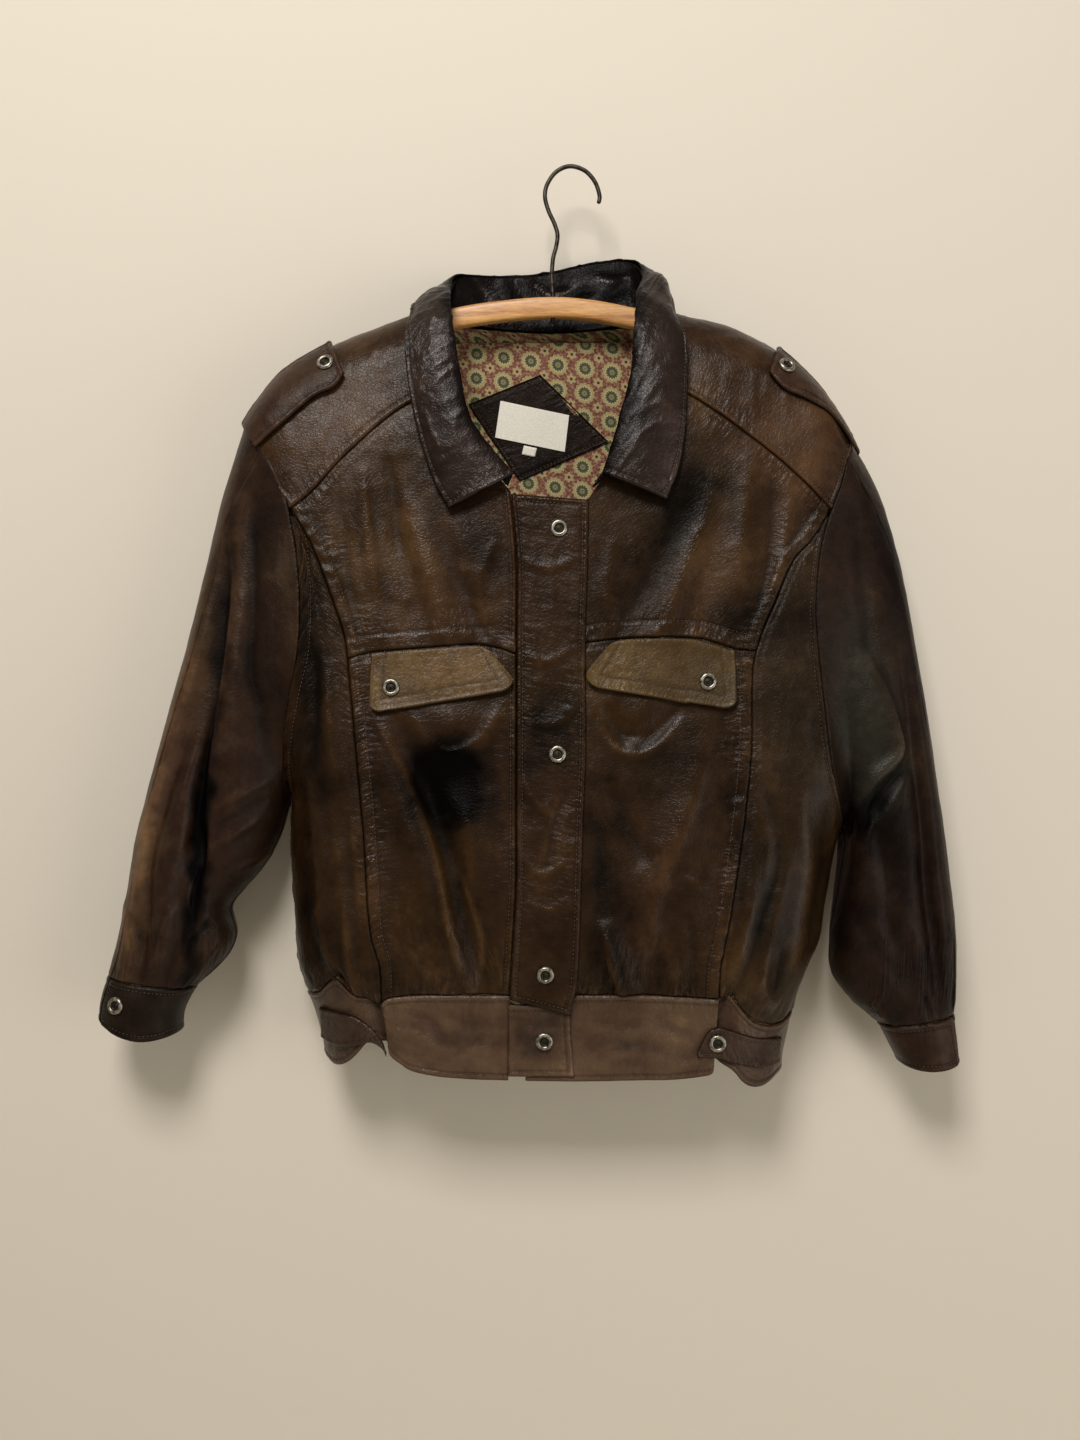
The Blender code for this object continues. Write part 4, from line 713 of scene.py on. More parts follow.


# aniline-dyed sheepskin, waxed and rubbed: soft sheen on the crests, matt and dark in the seams; crests and
# puckers are also lighter and hollows darker in the colour, partly painted highlight and painted shade
leathers = {
    "body leather": {"plain": ("#030201", "#120b05", "#2c1c0b", "#4b341b", "#80613a"),
        "red": ("#040201", "#150c07", "#2e1c10", "#4c341f", "#806041"),
        "cool": ("#030201", "#0f0c08", "#201a12", "#393025", "#6c6250"),
        "rough": 0.34, "wrinkle": 0.42, "shine": 0.18, "seed": 1.0},
    "sleeve leather": {"plain": ("#040303", "#130c08", "#26190f", "#44301f", "#75583c"),
        "red": ("#050303", "#160d0a", "#2c1b14", "#483126", "#785945"),
        "cool": ("#050505", "#12110f", "#242119", "#3d3930", "#6b675c"),
        "rough": 0.40, "wrinkle": 0.45, "shine": 0.15, "seed": 2.0},
    "flap leather": {"plain": ("#0a0703", "#231a0b", "#443318", "#69522a", "#9a7c46"),
        "red": ("#0b0704", "#251909", "#473119", "#694c2a", "#967144"),
        "cool": ("#0a0806", "#201a11", "#3b3122", "#574a35", "#85765a"),
        "rough": 0.38, "wrinkle": 1.0, "shine": 0.24, "seed": 3.0},
    "collar leather": {"plain": ("#030202", "#110b09", "#241914", "#3f3028", "#826a5a"),
        "red": ("#040202", "#150c09", "#2b1c15", "#473329", "#876854"),
        "cool": ("#030303", "#0f0d0d", "#1e1a1b", "#363135", "#6e6b72"),
        "rough": 0.34, "wrinkle": 0.72, "shine": 0.30, "seed": 4.0},
    "band leather": {"plain": ("#090604", "#20150e", "#3d2b1f", "#57422f", "#866a4d"),
        "red": ("#0a0605", "#23160f", "#422c20", "#5c4433", "#896a50"),
        "cool": ("#090707", "#1c1713", "#332a23", "#4a4137", "#787066"),
        "rough": 0.35, "wrinkle": 1.0, "shine": 0.30, "seed": 5.0},
    }


def leatherMaterial(name, look):
    tree, shader = newMaterial(name)
    spot = addNode(tree, "ShaderNodeTexCoord").outputs["Object"]
    moved = addNode(tree, "ShaderNodeMapping", {"Vector": spot, "Location": (look["seed"], 0.3,
                0.0)}).outputs[0]
    tone = addNode(tree, "ShaderNodeAttribute", attribute_name="tone").outputs["Fac"]
    rub = addNode(tree, "ShaderNodeAttribute", attribute_name="rub").outputs["Fac"]
    hue = addNode(tree, "ShaderNodeAttribute", attribute_name="hue").outputs["Fac"]
    bend = addNode(tree, "ShaderNodeTexNoise", {"Vector": moved, "Scale": 90.0, "Detail": 2.0}).outputs[1]
    # dye that took unevenly, 80 mm and 25 mm across, and specks of 4 mm
    cloudy = addNode(tree, "ShaderNodeTexNoise", {"Vector": moved, "Scale": 12.0, "Detail": 3.0}).outputs[0]
    blotchy = addNode(tree, "ShaderNodeTexNoise", {"Vector": moved, "Scale": 42.0, "Detail": 5.0,
            "Roughness": 0.62}).outputs[0]
    specks = addNode(tree, "ShaderNodeTexNoise", {"Vector": moved, "Scale": 240.0, "Detail": 2.0}).outputs[0]
    # puckers square to the seams, 4 to 5 mm apart
    flat = addNode(tree, "ShaderNodeUVMap", uv_map="UVMap").outputs[0]
    flat = addNode(tree, "ShaderNodeVectorMath", {0: bend, 1: (0.004, 0.004, 0.0), 2: flat},
        operation="MULTIPLY_ADD").outputs[0]
    drawn = None
    for label, stretch in (("gatherU", (75.0, 215.0, 1.0)), ("gatherV", (215.0, 75.0, 1.0))):
        pull = addNode(tree, "ShaderNodeAttribute", attribute_name=label).outputs["Fac"]
        place = addNode(tree, "ShaderNodeMapping", {"Vector": flat, "Scale": stretch}).outputs[0]
        ripple = addNode(tree, "ShaderNodeTexNoise", {"Vector": place, "Scale": 1.0, "Detail": 1.8,
                "Roughness": 0.55}).outputs[0]
        ripple = addNode(tree, "ShaderNodeMath", {0: ripple, 1: -0.5}, operation="ADD").outputs[0]
        inputs = {0: ripple, 1: pull, 2: drawn} if drawn else {0: ripple, 1: pull}
        drawn = addNode(tree, "ShaderNodeMath", inputs,
            operation="MULTIPLY_ADD" if drawn else "MULTIPLY").outputs[0]
    # the pucker height also goes into the colour, lighter on pucker crests and darker in their valleys:
    # painted highlight and painted shade
    total = addNode(tree, "ShaderNodeMath", {0: drawn, 1: 0.30, 2: tone}, operation="MULTIPLY_ADD").outputs[0]
    for field, share in ((cloudy, 0.46), (blotchy, 0.36), (specks, 0.12)):
        total = addNode(tree, "ShaderNodeMath", {0: field, 1: share, 2: total},
            operation="MULTIPLY_ADD").outputs[0]
    total = addNode(tree, "ShaderNodeMath", {0: total, 1: 0.03}, operation="ADD", use_clamp=True).outputs[0]
    places = (0.0, 0.27, 0.5, 0.74, 1.0)
    ramps = {key: addNode(tree, "ShaderNodeValToRGB", {0: total},
            stops=list(zip(places, look[key]))).outputs[0]
        for key in ("plain", "red", "cool")}
    drift = addNode(tree, "ShaderNodeTexNoise", {"Vector": moved, "Scale": 7.0, "Detail": 2.0}).outputs[0]
    drift = addNode(tree, "ShaderNodeMath", {0: drift, 1: 1.8, 2: -0.74}, operation="MULTIPLY_ADD").outputs[0]
    hue = addNode(tree, "ShaderNodeMath", {0: hue, 1: drift}, operation="ADD").outputs[0]
    warm = addNode(tree, "ShaderNodeMath", {0: hue, 1: 1.0}, operation="MULTIPLY", use_clamp=True).outputs[0]
    chill = addNode(tree, "ShaderNodeMath", {0: hue, 1: -1.0}, operation="MULTIPLY",
        use_clamp=True).outputs[0]
    colour = addNode(tree, "ShaderNodeMix", {0: warm, 6: ramps["plain"], 7: ramps["red"]},
        data_type="RGBA").outputs[2]
    colour = addNode(tree, "ShaderNodeMix", {0: chill, 6: colour, 7: ramps["cool"]},
        data_type="RGBA").outputs[2]
    tree.links.new(colour, shader.inputs["Base Color"])
    # wax left in patches, and crests polished by wear
    gloss = addNode(tree, "ShaderNodeMath", {0: rub, 1: -0.20, 2: look["rough"] + 0.06},
        operation="MULTIPLY_ADD").outputs[0]
    gloss = addNode(tree, "ShaderNodeMath", {0: blotchy, 1: 0.22, 2: gloss},
        operation="MULTIPLY_ADD").outputs[0]
    gloss = addNode(tree, "ShaderNodeMath", {0: gloss, 1: -0.08}, operation="ADD").outputs[0]
    tree.links.new(gloss, shader.inputs["Roughness"])
    # grain cells of 3 mm, drawn coarse enough to show, and fine stretched wrinkles
    bent = addNode(tree, "ShaderNodeVectorMath", {0: bend, 1: (0.006, 0.006, 0.006), 2: moved},
        operation="MULTIPLY_ADD").outputs[0]
    cells = addNode(tree, "ShaderNodeTexVoronoi", {"Vector": bent, "Scale": 330.0},
        feature="DISTANCE_TO_EDGE").outputs[0]
    grooves = addNode(tree, "ShaderNodeMapRange", {0: cells, 1: 0.0, 2: 0.14, 3: 0.0, 4: 1.0}).outputs[0]
    stretched = addNode(tree, "ShaderNodeMapping", {"Vector": bent, "Scale": (115.0, 115.0, 80.0)}).outputs[0]
    wrinkles = addNode(tree, "ShaderNodeTexNoise", {"Vector": stretched, "Scale": 1.0, "Detail": 4.0,
            "Roughness": 0.6}).outputs[0]
    # wrinkles come in patches about 60 mm across
    crumpled = addNode(tree, "ShaderNodeMapRange", {0: cloudy, 1: 0.42, 2: 0.66, 3: 0.15 * look["wrinkle"],
            4: look["wrinkle"]}).outputs[0]
    bump = addNode(tree, "ShaderNodeBump", {"Height": wrinkles, "Strength": crumpled,
            "Distance": 0.0022}).outputs[0]
    bump = addNode(tree, "ShaderNodeBump", {"Height": drawn, "Strength": 1.0, "Distance": 0.0032,
            "Normal": bump}).outputs[0]
    bump = addNode(tree, "ShaderNodeBump", {"Height": grooves, "Strength": 0.22, "Distance": 0.0004,
            "Normal": bump}).outputs[0]
    tree.links.new(bump, shader.inputs["Normal"])
    shine = addNode(tree, "ShaderNodeMapRange", {0: total, 1: 0.12, 2: 0.62, 3: 0.04,
            4: look["shine"]}).outputs[0]
    tree.links.new(shine, shader.inputs["Specular IOR Level"])
    shader.inputs["IOR"].default_value = 1.5


for leatherName, leatherLook in leathers.items():
    leatherMaterial(leatherName, leatherLook)

# printed cotton twill lining: matt, brick ground with round medallions on a 24 mm lattice
liningLook = {"lattice": (0.0244, 0.0219), "slope": 0.14, "phase": (-0.27, -0.25),
    "ground": ("#512b1e", "#784c39"), "fleck": "#9a775a",
    "medallion": (("#1f1c14", 0.0), ("#8f8458", 0.12), ("#353a26", 0.24), ("#3c4129", 0.40),
        ("#b5a67a", 0.50), ("#8d8052", 0.62), ("#a89768", 0.72)),
    "radius": 0.0088, "rosette": 0.0040}


def liningMaterial(look):
    tree, shader = newMaterial("lining cloth")
    spot = addNode(tree, "ShaderNodeUVMap", uv_map="UVMap").outputs[0]
    width, height = look["lattice"]
    # the print runs off the grain: its rows fall to the right
    parts = addNode(tree, "ShaderNodeSeparateXYZ", {0: spot}).outputs
    lowered = addNode(tree, "ShaderNodeMath", {0: parts[0], 1: look["slope"], 2: parts[1]},
        operation="MULTIPLY_ADD").outputs[0]
    turned = addNode(tree, "ShaderNodeCombineXYZ", {0: parts[0], 1: lowered}).outputs[0]
    turned = addNode(tree, "ShaderNodeMapping", {"Vector": turned, "Location": (*look["phase"], 0),
            "Scale": (1 / width, 1 / height, 1.0)}).outputs[0]
    found = []
    for shift in (0.5, 0.0):
        moved = addNode(tree, "ShaderNodeVectorMath", {0: turned, 1: (shift, shift, 0)},
            operation="ADD").outputs[0]
        cell = addNode(tree, "ShaderNodeVectorMath", {0: moved}, operation="FRACTION").outputs[0]
        cell = addNode(tree, "ShaderNodeVectorMath", {0: cell, 1: (0.5, 0.5, 0)},
            operation="SUBTRACT").outputs[0]
        cell = addNode(tree, "ShaderNodeVectorMath", {0: cell, 1: (1, height / width, 0)},
            operation="MULTIPLY").outputs[0]
        radius = addNode(tree, "ShaderNodeVectorMath", {0: cell}, operation="LENGTH").outputs["Value"]
        radius = addNode(tree, "ShaderNodeMath", {0: radius, 1: width}, operation="MULTIPLY").outputs[0]
        parts = addNode(tree, "ShaderNodeSeparateXYZ", {0: cell}).outputs
        angle = addNode(tree, "ShaderNodeMath", {0: parts[1], 1: parts[0]}, operation="ARCTAN2").outputs[0]
        found.append((radius, angle))
    blotch = addNode(tree, "ShaderNodeTexNoise", {"Vector": spot, "Scale": 420.0, "Detail": 3.0}).outputs[0]
    ground = addNode(tree, "ShaderNodeValToRGB", {0: blotch}, stops=[
            (0.36, look["ground"][0]), (0.52, look["ground"][1]), (0.66, look["fleck"])]).outputs[0]
    # scalloped rim of 14 petals
    petals = addNode(tree, "ShaderNodeMath", {0: found[0][1], 1: 14.0}, operation="MULTIPLY").outputs[0]
    petals = addNode(tree, "ShaderNodeMath", {0: petals}, operation="COSINE").outputs[0]
    reach = addNode(tree, "ShaderNodeMath", {0: petals, 1: 0.0006, 2: found[0][0]},
        operation="MULTIPLY_ADD").outputs[0]
    share = addNode(tree, "ShaderNodeMath", {0: reach, 1: 0.012}, operation="DIVIDE").outputs[0]
    disc = addNode(tree, "ShaderNodeValToRGB", {0: share},
        stops=[(place, colour) for colour, place in look["medallion"]]).outputs[0]
    within = addNode(tree, "ShaderNodeMath", {0: reach, 1: look["radius"]}, operation="LESS_THAN").outputs[0]
    colour = addNode(tree, "ShaderNodeMix", {0: within, 6: ground, 7: disc}, data_type="RGBA").outputs[2]
    small = addNode(tree, "ShaderNodeMath", {0: found[1][1], 1: 6.0}, operation="MULTIPLY").outputs[0]
    small = addNode(tree, "ShaderNodeMath", {0: small}, operation="COSINE").outputs[0]
    small = addNode(tree, "ShaderNodeMath", {0: small, 1: 0.0008, 2: found[1][0]},
        operation="MULTIPLY_ADD").outputs[0]
    flower = addNode(tree, "ShaderNodeMath", {0: small, 1: look["rosette"]}, operation="LESS_THAN").outputs[0]
    eye = addNode(tree, "ShaderNodeMath", {0: found[1][0], 1: 0.0013}, operation="LESS_THAN").outputs[0]
    colour = addNode(tree, "ShaderNodeMix", {0: flower, 6: colour, 7: linear("#a08c62")},
        data_type="RGBA").outputs[2]
    colour = addNode(tree, "ShaderNodeMix", {0: eye, 6: colour, 7: linear("#2a2118")},
        data_type="RGBA").outputs[2]
    tree.links.new(colour, shader.inputs["Base Color"])
    shader.inputs["Roughness"].default_value = 0.82
    # twill of 0.8 mm, drawn at 1.6 mm so that it shows
    twill = addNode(tree, "ShaderNodeTexWave", {"Vector": spot, "Scale": 200.0, "Distortion": 0.4},
        wave_type="BANDS", bands_direction="DIAGONAL").outputs[1]
    bump = addNode(tree, "ShaderNodeBump", {"Height": twill, "Strength": 0.25, "Distance": 0.0003}).outputs[0]
    tree.links.new(bump, shader.inputs["Normal"])


liningMaterial(liningLook)

# small hard and woven finishes
smallLook = {
    "nickel snap": {"colour": ("#625d55", "#aba597"), "metal": 1.0, "rough": (0.26, 0.50), "scale": 420.0,
        "dent": 0.0002},
    "tarnished nickel": {"colour": ("#16130f", "#3a342b"), "metal": 0.8, "rough": (0.42, 0.66),
        "scale": 500.0,
        "dent": 0.0002},
    "hook steel": {"colour": ("#26221f", "#4a443e"), "metal": 1.0, "rough": (0.34, 0.52), "scale": 260.0,
        "dent": 0.0001},
    "sewing thread": {"colour": ("#33241a", "#5a4231"), "metal": 0.0, "rough": (0.60, 0.75), "scale": 700.0,
        "dent": 0.0001},
    "label satin": {"colour": ("#d8d2c2", "#e9e4d7"), "metal": 0.0, "rough": (0.42, 0.60), "scale": 900.0,
        "dent": 0.0002},
    }


def smallMaterial(name, look):
    tree, shader = newMaterial(name)
    spot = addNode(tree, "ShaderNodeTexCoord").outputs["Object"]
    grain = addNode(tree, "ShaderNodeTexNoise", {"Vector": spot, "Scale": look["scale"],
            "Detail": 3.0}).outputs[0]
    colour = addNode(tree, "ShaderNodeValToRGB", {0: grain},
        stops=[(0.32, look["colour"][0]), (0.62, look["colour"][1])]).outputs[0]
    tree.links.new(colour, shader.inputs["Base Color"])
    low, high = look["rough"]
    rough = addNode(tree, "ShaderNodeMapRange", {0: grain, 1: 0.3, 2: 0.7, 3: low, 4: high}).outputs[0]
    tree.links.new(rough, shader.inputs["Roughness"])
    bump = addNode(tree, "ShaderNodeBump", {"Height": grain, "Strength": 0.4,
            "Distance": look["dent"]}).outputs[0]
    tree.links.new(bump, shader.inputs["Normal"])
    shader.inputs["Metallic"].default_value = look["metal"]


for smallName, smallEntry in smallLook.items():
    smallMaterial(smallName, smallEntry)

# lacquered beech: warm honey, straight grain along the bar, flecks of 1 mm, a thin worn lacquer
woodLook = {"grain": ("#9c6430", "#c08a4e", "#d9a868"), "along": 9.0, "across": 150.0, "coat": 0.12}


def woodMaterial(look):
    tree, shader = newMaterial("lacquered beech")
    spot = addNode(tree, "ShaderNodeTexCoord").outputs["Object"]
    drawn = addNode(tree, "ShaderNodeMapping", {"Vector": spot, "Scale": (look["along"], look["across"],
                look["across"])}).outputs[0]
    lines = addNode(tree, "ShaderNodeTexNoise", {"Vector": drawn, "Scale": 1.0, "Detail": 5.0,
            "Roughness": 0.65}).outputs[0]
    flecks = addNode(tree, "ShaderNodeMapping", {"Vector": spot, "Scale": (140.0, 900.0, 900.0)}).outputs[0]
    flecks = addNode(tree, "ShaderNodeTexNoise", {"Vector": flecks, "Scale": 1.0, "Detail": 2.0}).outputs[0]
    both = addNode(tree, "ShaderNodeMath", {0: flecks, 1: 0.3, 2: lines}, operation="MULTIPLY_ADD").outputs[0]
    colour = addNode(tree, "ShaderNodeValToRGB", {0: both}, stops=[
            (0.48, look["grain"][0]), (0.64, look["grain"][1]), (0.82, look["grain"][2])]).outputs[0]
    tree.links.new(colour, shader.inputs["Base Color"])
    bump = addNode(tree, "ShaderNodeBump", {"Height": both, "Strength": 0.3, "Distance": 0.0003}).outputs[0]
    tree.links.new(bump, shader.inputs["Normal"])
    shader.inputs["Roughness"].default_value = 0.42
    shader.inputs["Coat Weight"].default_value = look["coat"]
    shader.inputs["Coat Roughness"].default_value = 0.25


woodMaterial(woodLook)
print("stage: materials made,", len(finishes))


def sideOf(side):
    return ("L", 1, -1) if side == 0 else ("R", 2, 1)


# fronts: upper and lower each side, with the placket's underlap on the right
frontLook = {"underlap": 14.0, "upperTone": (0.0, -0.02), "lowerTone": (-0.03, -0.05)}


def frontUpper(side):
    letter, c, _ = sideOf(side)
    neck = neckLines[side][:3]
    seam = yokeSeams[side] if side == 0 else yokeSeams[side][::-1]
    low, high = form["chest"], (yokeSeams[0][0] if side == 0 else yokeSeams[1][-1])[1]
    corner = 4 / 7

    def outerEdge(v):
        z = mix(low, high, v)
        return curve(form["frontSeam"], z, c), z

    def innerEdge(v):
        foot = neck[0]
        z = mix(low, foot[1], np.minimum(v / corner, 1))
        x = curve(form["placket"], z, 1)
        if side == 1:
            x = mix(x + frontLook["underlap"], foot[0], np.maximum(0, np.minimum(v / corner, 1) - 0.75) * 4)
        above = walk(neck, np.clip((v - corner) / (1 - corner), 0, 1))
        return np.where(v <= corner, x, above[..., 0]), np.where(v <= corner, z, above[..., 1])

    def place(u, v):
        a, b = outerEdge(v), innerEdge(v)
        low0, low1 = outerEdge(np.zeros_like(v)), innerEdge(np.zeros_like(v))
        top0, top1 = outerEdge(np.ones_like(v)), innerEdge(np.ones_like(v))
        top = walk(seam, u)
        x, z = (mix(a[k], b[k], u) + v ** 2 * (top[..., k] - mix(top0[k], top1[k], u)) for k in (0, 1))
        z = z + (1 - v) * (low - mix(low0[1], low1[1], u))
        risen = z + (1 - v) ** 2 * (curve(form["chestSeam"][side], x) - low)
        x = x + (1 - v) ** 2 * (1 - u) * (curve(form["frontSeam"], risen, c) - curve(form["frontSeam"], z, c))
        return bodyPoint(x, risen)

    panel("front_upper_" + letter, place, {
            "seams": ("lip", "stitched" if side == 0 else "none", "tuck", "under"), "thread": "front",
            "tone": frontLook["upperTone"][side], "seed": 3 + side, "normal": onFront,
            "restsOn": ["yoke_" + letter]})


def frontLower(side):
    letter, c, _ = sideOf(side)
    low, high = form["waist"], form["chest"]

    def across(u, z):
        edge = curve(form["placket"], z, 1) + (frontLook["underlap"] if side == 1 else 0.0)
        return mix(curve(form["frontSeam"], z, c), edge, u)

    def place(u, v):
        z = mix(low, high, v)
        x = across(u, z)
        z = (z + v ** 2 * (curve(form["chestSeam"][side], x) - high)
            + (1 - v) ** 5 * (curve(form["waistFront"], x) - low))
        return bodyPoint(across(u, z), z)

    panel("front_lower_" + letter, place, {
            "seams": ("lip" if side == 0 else "band", "stitched" if side == 0 else "none", "gathered",
                "under"),
            "thread": "front", "tone": frontLook["lowerTone"][side], "seed": 5 + side, "normal": onFront,
            "restsOn": ["front_upper_" + letter]})


# side fronts: from the waist to the yoke's tip, under the armhole
sideLook = {"tone": (-0.01, 0.0), "hue": (0.0, -0.45)}


def sideFront(side):
    letter, c, _ = sideOf(side)
    top = (yokeSeams[0][0] if side == 0 else yokeSeams[1][-1])[1] - 6.0

    def across(u, z):
        seam = curve(form["frontSeam"], z, c)
        edge = np.where(z <= form["underarm"][side], curve(form["sides"], z, c), curve(form["armhole"], z, c))
        return edge + (seam - edge) * (1 - np.cos(u * math.pi / 2))

    def place(u, v):
        z = mix(form["waist"], top, v)
        z = z + (1 - v) ** 9 * (curve(form["waistFront"], across(u, z)) - form["waist"])
        return bodyPoint(across(u, z), z)

    panel("side_front_" + letter, place, {
            "seams": (("band", "stitched")[side], "under", "gathered", "plain"), "thread": "front",
            "tone": sideLook["tone"][side], "drawn": 0.5,
            "hue": sideLook["hue"][side], "seed": 8 + side, "normal": onFront,
            "restsOn": ["front_upper_" + letter]})


# back: one panel from side seam to side seam, and the yoke above it
backLook = {"tone": 0.02, "yokeTone": 0.06}


def flankRows(side):
    under = form["underarm"][side]
    lower = [mix(form["waist"], under, k / 5) for k in range(6)]
    return lower + [mix(under, form["chest"], t) for t in (0.07, 0.25, 0.5, 0.75, 1.0)]


def backPanel():
    top = [mix(form["chest"], form["backYoke"], k / 6) for k in range(1, 7)]
    rows = [np.array(flankRows(side) + top) for side in (0, 1)]
    count = len(rows[0]) - 1

    def edge(side, v):
        z = np.interp(v * count, np.arange(count + 1), rows[side])
        x = np.where(z <= form["underarm"][side], curve(form["sides"], z, side + 1),
            curve(form["armhole"], z, side + 1))
        return x, z

    def place(u, v):
        (ax, az), (bx, bz) = edge(0, v), edge(1, v)
        f = (1 - np.cos(math.pi * u)) / 2
        x, level = mix(ax, bx, f), mix(az, bz, f)
        z = level + (1 - v) ** 9 * (curve(form["waistBack"], x) - form["waist"])
        moved = [curve(form["sides"], z, k) - curve(form["sides"], level, k) for k in (1, 2)]
        return bodyPoint(x + np.where(v < 0.3, mix(*moved, f), 0), z, True)

    panel("back_panel", place, {"seams": ("plain", "plain", "gathered", "under"), "tone": backLook["tone"],
            "seed": 11, "normal": onBack, "step": 3.1, "restsOn": ["back_yoke"]})


def ridgeTop(side):
    return float(curve(form["ridge"], form["armholeTop"][side]))


# height where the shoulder seam, a set drop behind the ridge, meets the armhole
def shoulderSeamEnd(side):
    low, high = ridgeTop(side) - 4 * form["shoulderDrop"], ridgeTop(side)
    for _ in range(30):
        middle = (low + high) / 2
        drop = curve(form["ridge"], curve(form["armhole"], middle, side + 1)) - middle
        low, high = (middle, high) if drop > form["shoulderDrop"] else (low, middle)
    return low


def backYoke():
    ends = [shoulderSeamEnd(0), shoulderSeamEnd(1)]

    def place(u, v):
        left, right = (mix(form["backYoke"], end, v) for end in ends)
        x = mix(curve(form["armhole"], left, 1), curve(form["armhole"], right, 2), u)
        ridge = curve(form["ridge"], x) - form["shoulderDrop"] - 0.45
        neck = (x > neckBack[0][0]) & (x < neckBack[-1][0])
        top = np.where(neck, curve(neckBack, x), ridge)
        return bodyPoint(x, mix(form["backYoke"], top, 1 - (1 - v) ** 1.5), True)

    panel("back_yoke", place, {"seams": ("under", "under", "stitched", "plain"), "thread": "back",
            "tone": backLook["yokeTone"], "seed": 12, "normal": onBack})


# shoulder yokes: from the front yoke seam over the ridge to the shoulder seam
yokeLook = {"tone": (0.04, 0.04), "hue": (0.35, 0.45), "fold": 5 / 7}


def yoke(side):
    letter, c, _ = sideOf(side)
    seam = yokeSeams[side][::-1] if side == 0 else yokeSeams[side]
    neck = neckLines[side][-1]
    fold = yokeLook["fold"]
    end = shoulderSeamEnd(side)

    def place(u, v):
        low = walk(seam, u)
        topX = mix(neck[0], form["armholeTop"][side], u)
        topZ = curve(form["ridge"], topX)
        share = (1 - np.minimum(v / fold, 1)) ** 2
        x, z = mix(topX, low[..., 0], share), mix(topZ, low[..., 1], share)
        last = u > 0.9999
        x = np.where(last & (share > 0), curve(form["armhole"], z, c), x)
        behind = v > fold
        over = (np.maximum(v - fold, 0) / (1 - fold)) ** 2
        backZ = np.where(last, mix(topZ, end, over), topZ - form["shoulderDrop"] * over)
        backX = np.where(last & (over > 0), curve(form["armhole"], backZ, c), topX)
        return np.where(behind[..., None], bodyPoint(backX, backZ, True), bodyPoint(x, z))

    def normal(points, u, v):
        return bodyNormal(points, v > fold)

    panel("yoke_" + letter, place, {
            "seams": ("plain", "stitched", "stitched", "plain"), "thread": "front",
            "tone": yokeLook["tone"][side],
            "hue": yokeLook["hue"][side], "seed": 14 + side, "skin": 1.3, "normal": normal})


frontUpper(0)
frontUpper(1)
frontLower(0)
frontLower(1)
sideFront(0)
sideFront(1)
backPanel()
backYoke()
yoke(0)
yoke(1)
print("stage: body panels sewn")

# sleeves: sections from armhole to wrist: outer x z, inner x z, bow, front, back, middle y
sleeveLook = {
    "sections": (
        [(-302, -284, -249, -566, 19, 46, 36, -1), (-317, -354, -254, -584, 12, 46, 36, -2),
            (-332, -418, -262, -602, 6, 46, 35, -3), (-349, -480, -272, -618, 2, 45, 34, -4),
            (-365, -538, -286, -634, 0, 44, 33, -5), (-378, -590, -297, -650, 0, 43, 32, -6),
            (-387, -645, -292, -672, 0, 41, 31, -7), (-394, -680, -301, -693, 0, 38, 30, -8),
            (-401, -706, -326, -717, 0, 35, 29, -9)],
        [(270, -288, 242, -592, -19, 46, 36, -1), (288, -352, 240, -608, -12, 46, 36, -2),
            (299, -420, 236, -630, -6, 46, 35, -3), (310, -484, 231, -655, -2, 45, 34, -4),
            (320, -545, 228, -680, 0, 44, 33, -5), (328, -602, 229, -705, 0, 43, 32, -6),
            (334, -656, 243, -726, 0, 41, 31, -7), (335, -700, 258, -739, 0, 37, 30, -8),
            (333, -739, 269, -749, 0, 33, 28, -9)]),
    "cuffs": (
        [(-401, -706, -326, -717, 0, 35, 29, -9), (-407, -727, -337, -739, 0, 36, 30, -9),
            (-409, -742, -339, -756, 0, 35, 29, -9)],
        [(333, -739, 269, -749, 0, 33, 28, -9), (335, -760, 279, -768, 0, 33, 28, -9),
            (337, -780, 287, -784, 0, 32, 27, -9)]),
    # deep folds: section and place across at each end, half-width, share of the depth
    "folds": [(1.5, 0.16, 9.5, 0.34, 0.07, 0.24), (3.0, 0.62, 7.5, 0.55, 0.08, 0.12)],
    "round": 2.4, "step": 3.0, "tone": (0.01, -0.09), "hue": (0.0, 0.05), "sag": (9.0, 3.0),
    "names": ("left", "right"),
    }


def sectionPoint(row, s, behind, section):
    outerX, outerZ, innerX, innerZ, bow, front, back, middle = row
    power = sleeveLook["round"]
    depth = (1 - np.abs(2 * s - 1) ** power) ** (1 / power)
    dent = np.zeros_like(s)
    for k0, s0, k1, s1, width, share in sleeveLook["folds"]:
        t = (section - k0) / (k1 - k0)
        if 0 < t < 1:
            dent += share * math.sin(math.pi * t) * np.exp(-((s - mix(s0, s1, t)) / width) ** 2)
    y = middle + np.where(behind, back * depth, -front * depth * (1 - dent))
    return stack(mix(outerX, innerX, s) + bow * np.sin(math.pi * s), y, mix(outerZ, innerZ, s))


# outward normals of a closed grid: turn goes round the piece, run goes along it
def ringNormals(points):
    turn = np.roll(points, -1, 0) - np.roll(points, 1, 0)
    run = np.gradient(points, axis=1)
    normals = unit(np.cross(turn, run))
    away = points - points.mean(0, keepdims=True)
    return normals if (normals * away).sum() > 0 else -normals


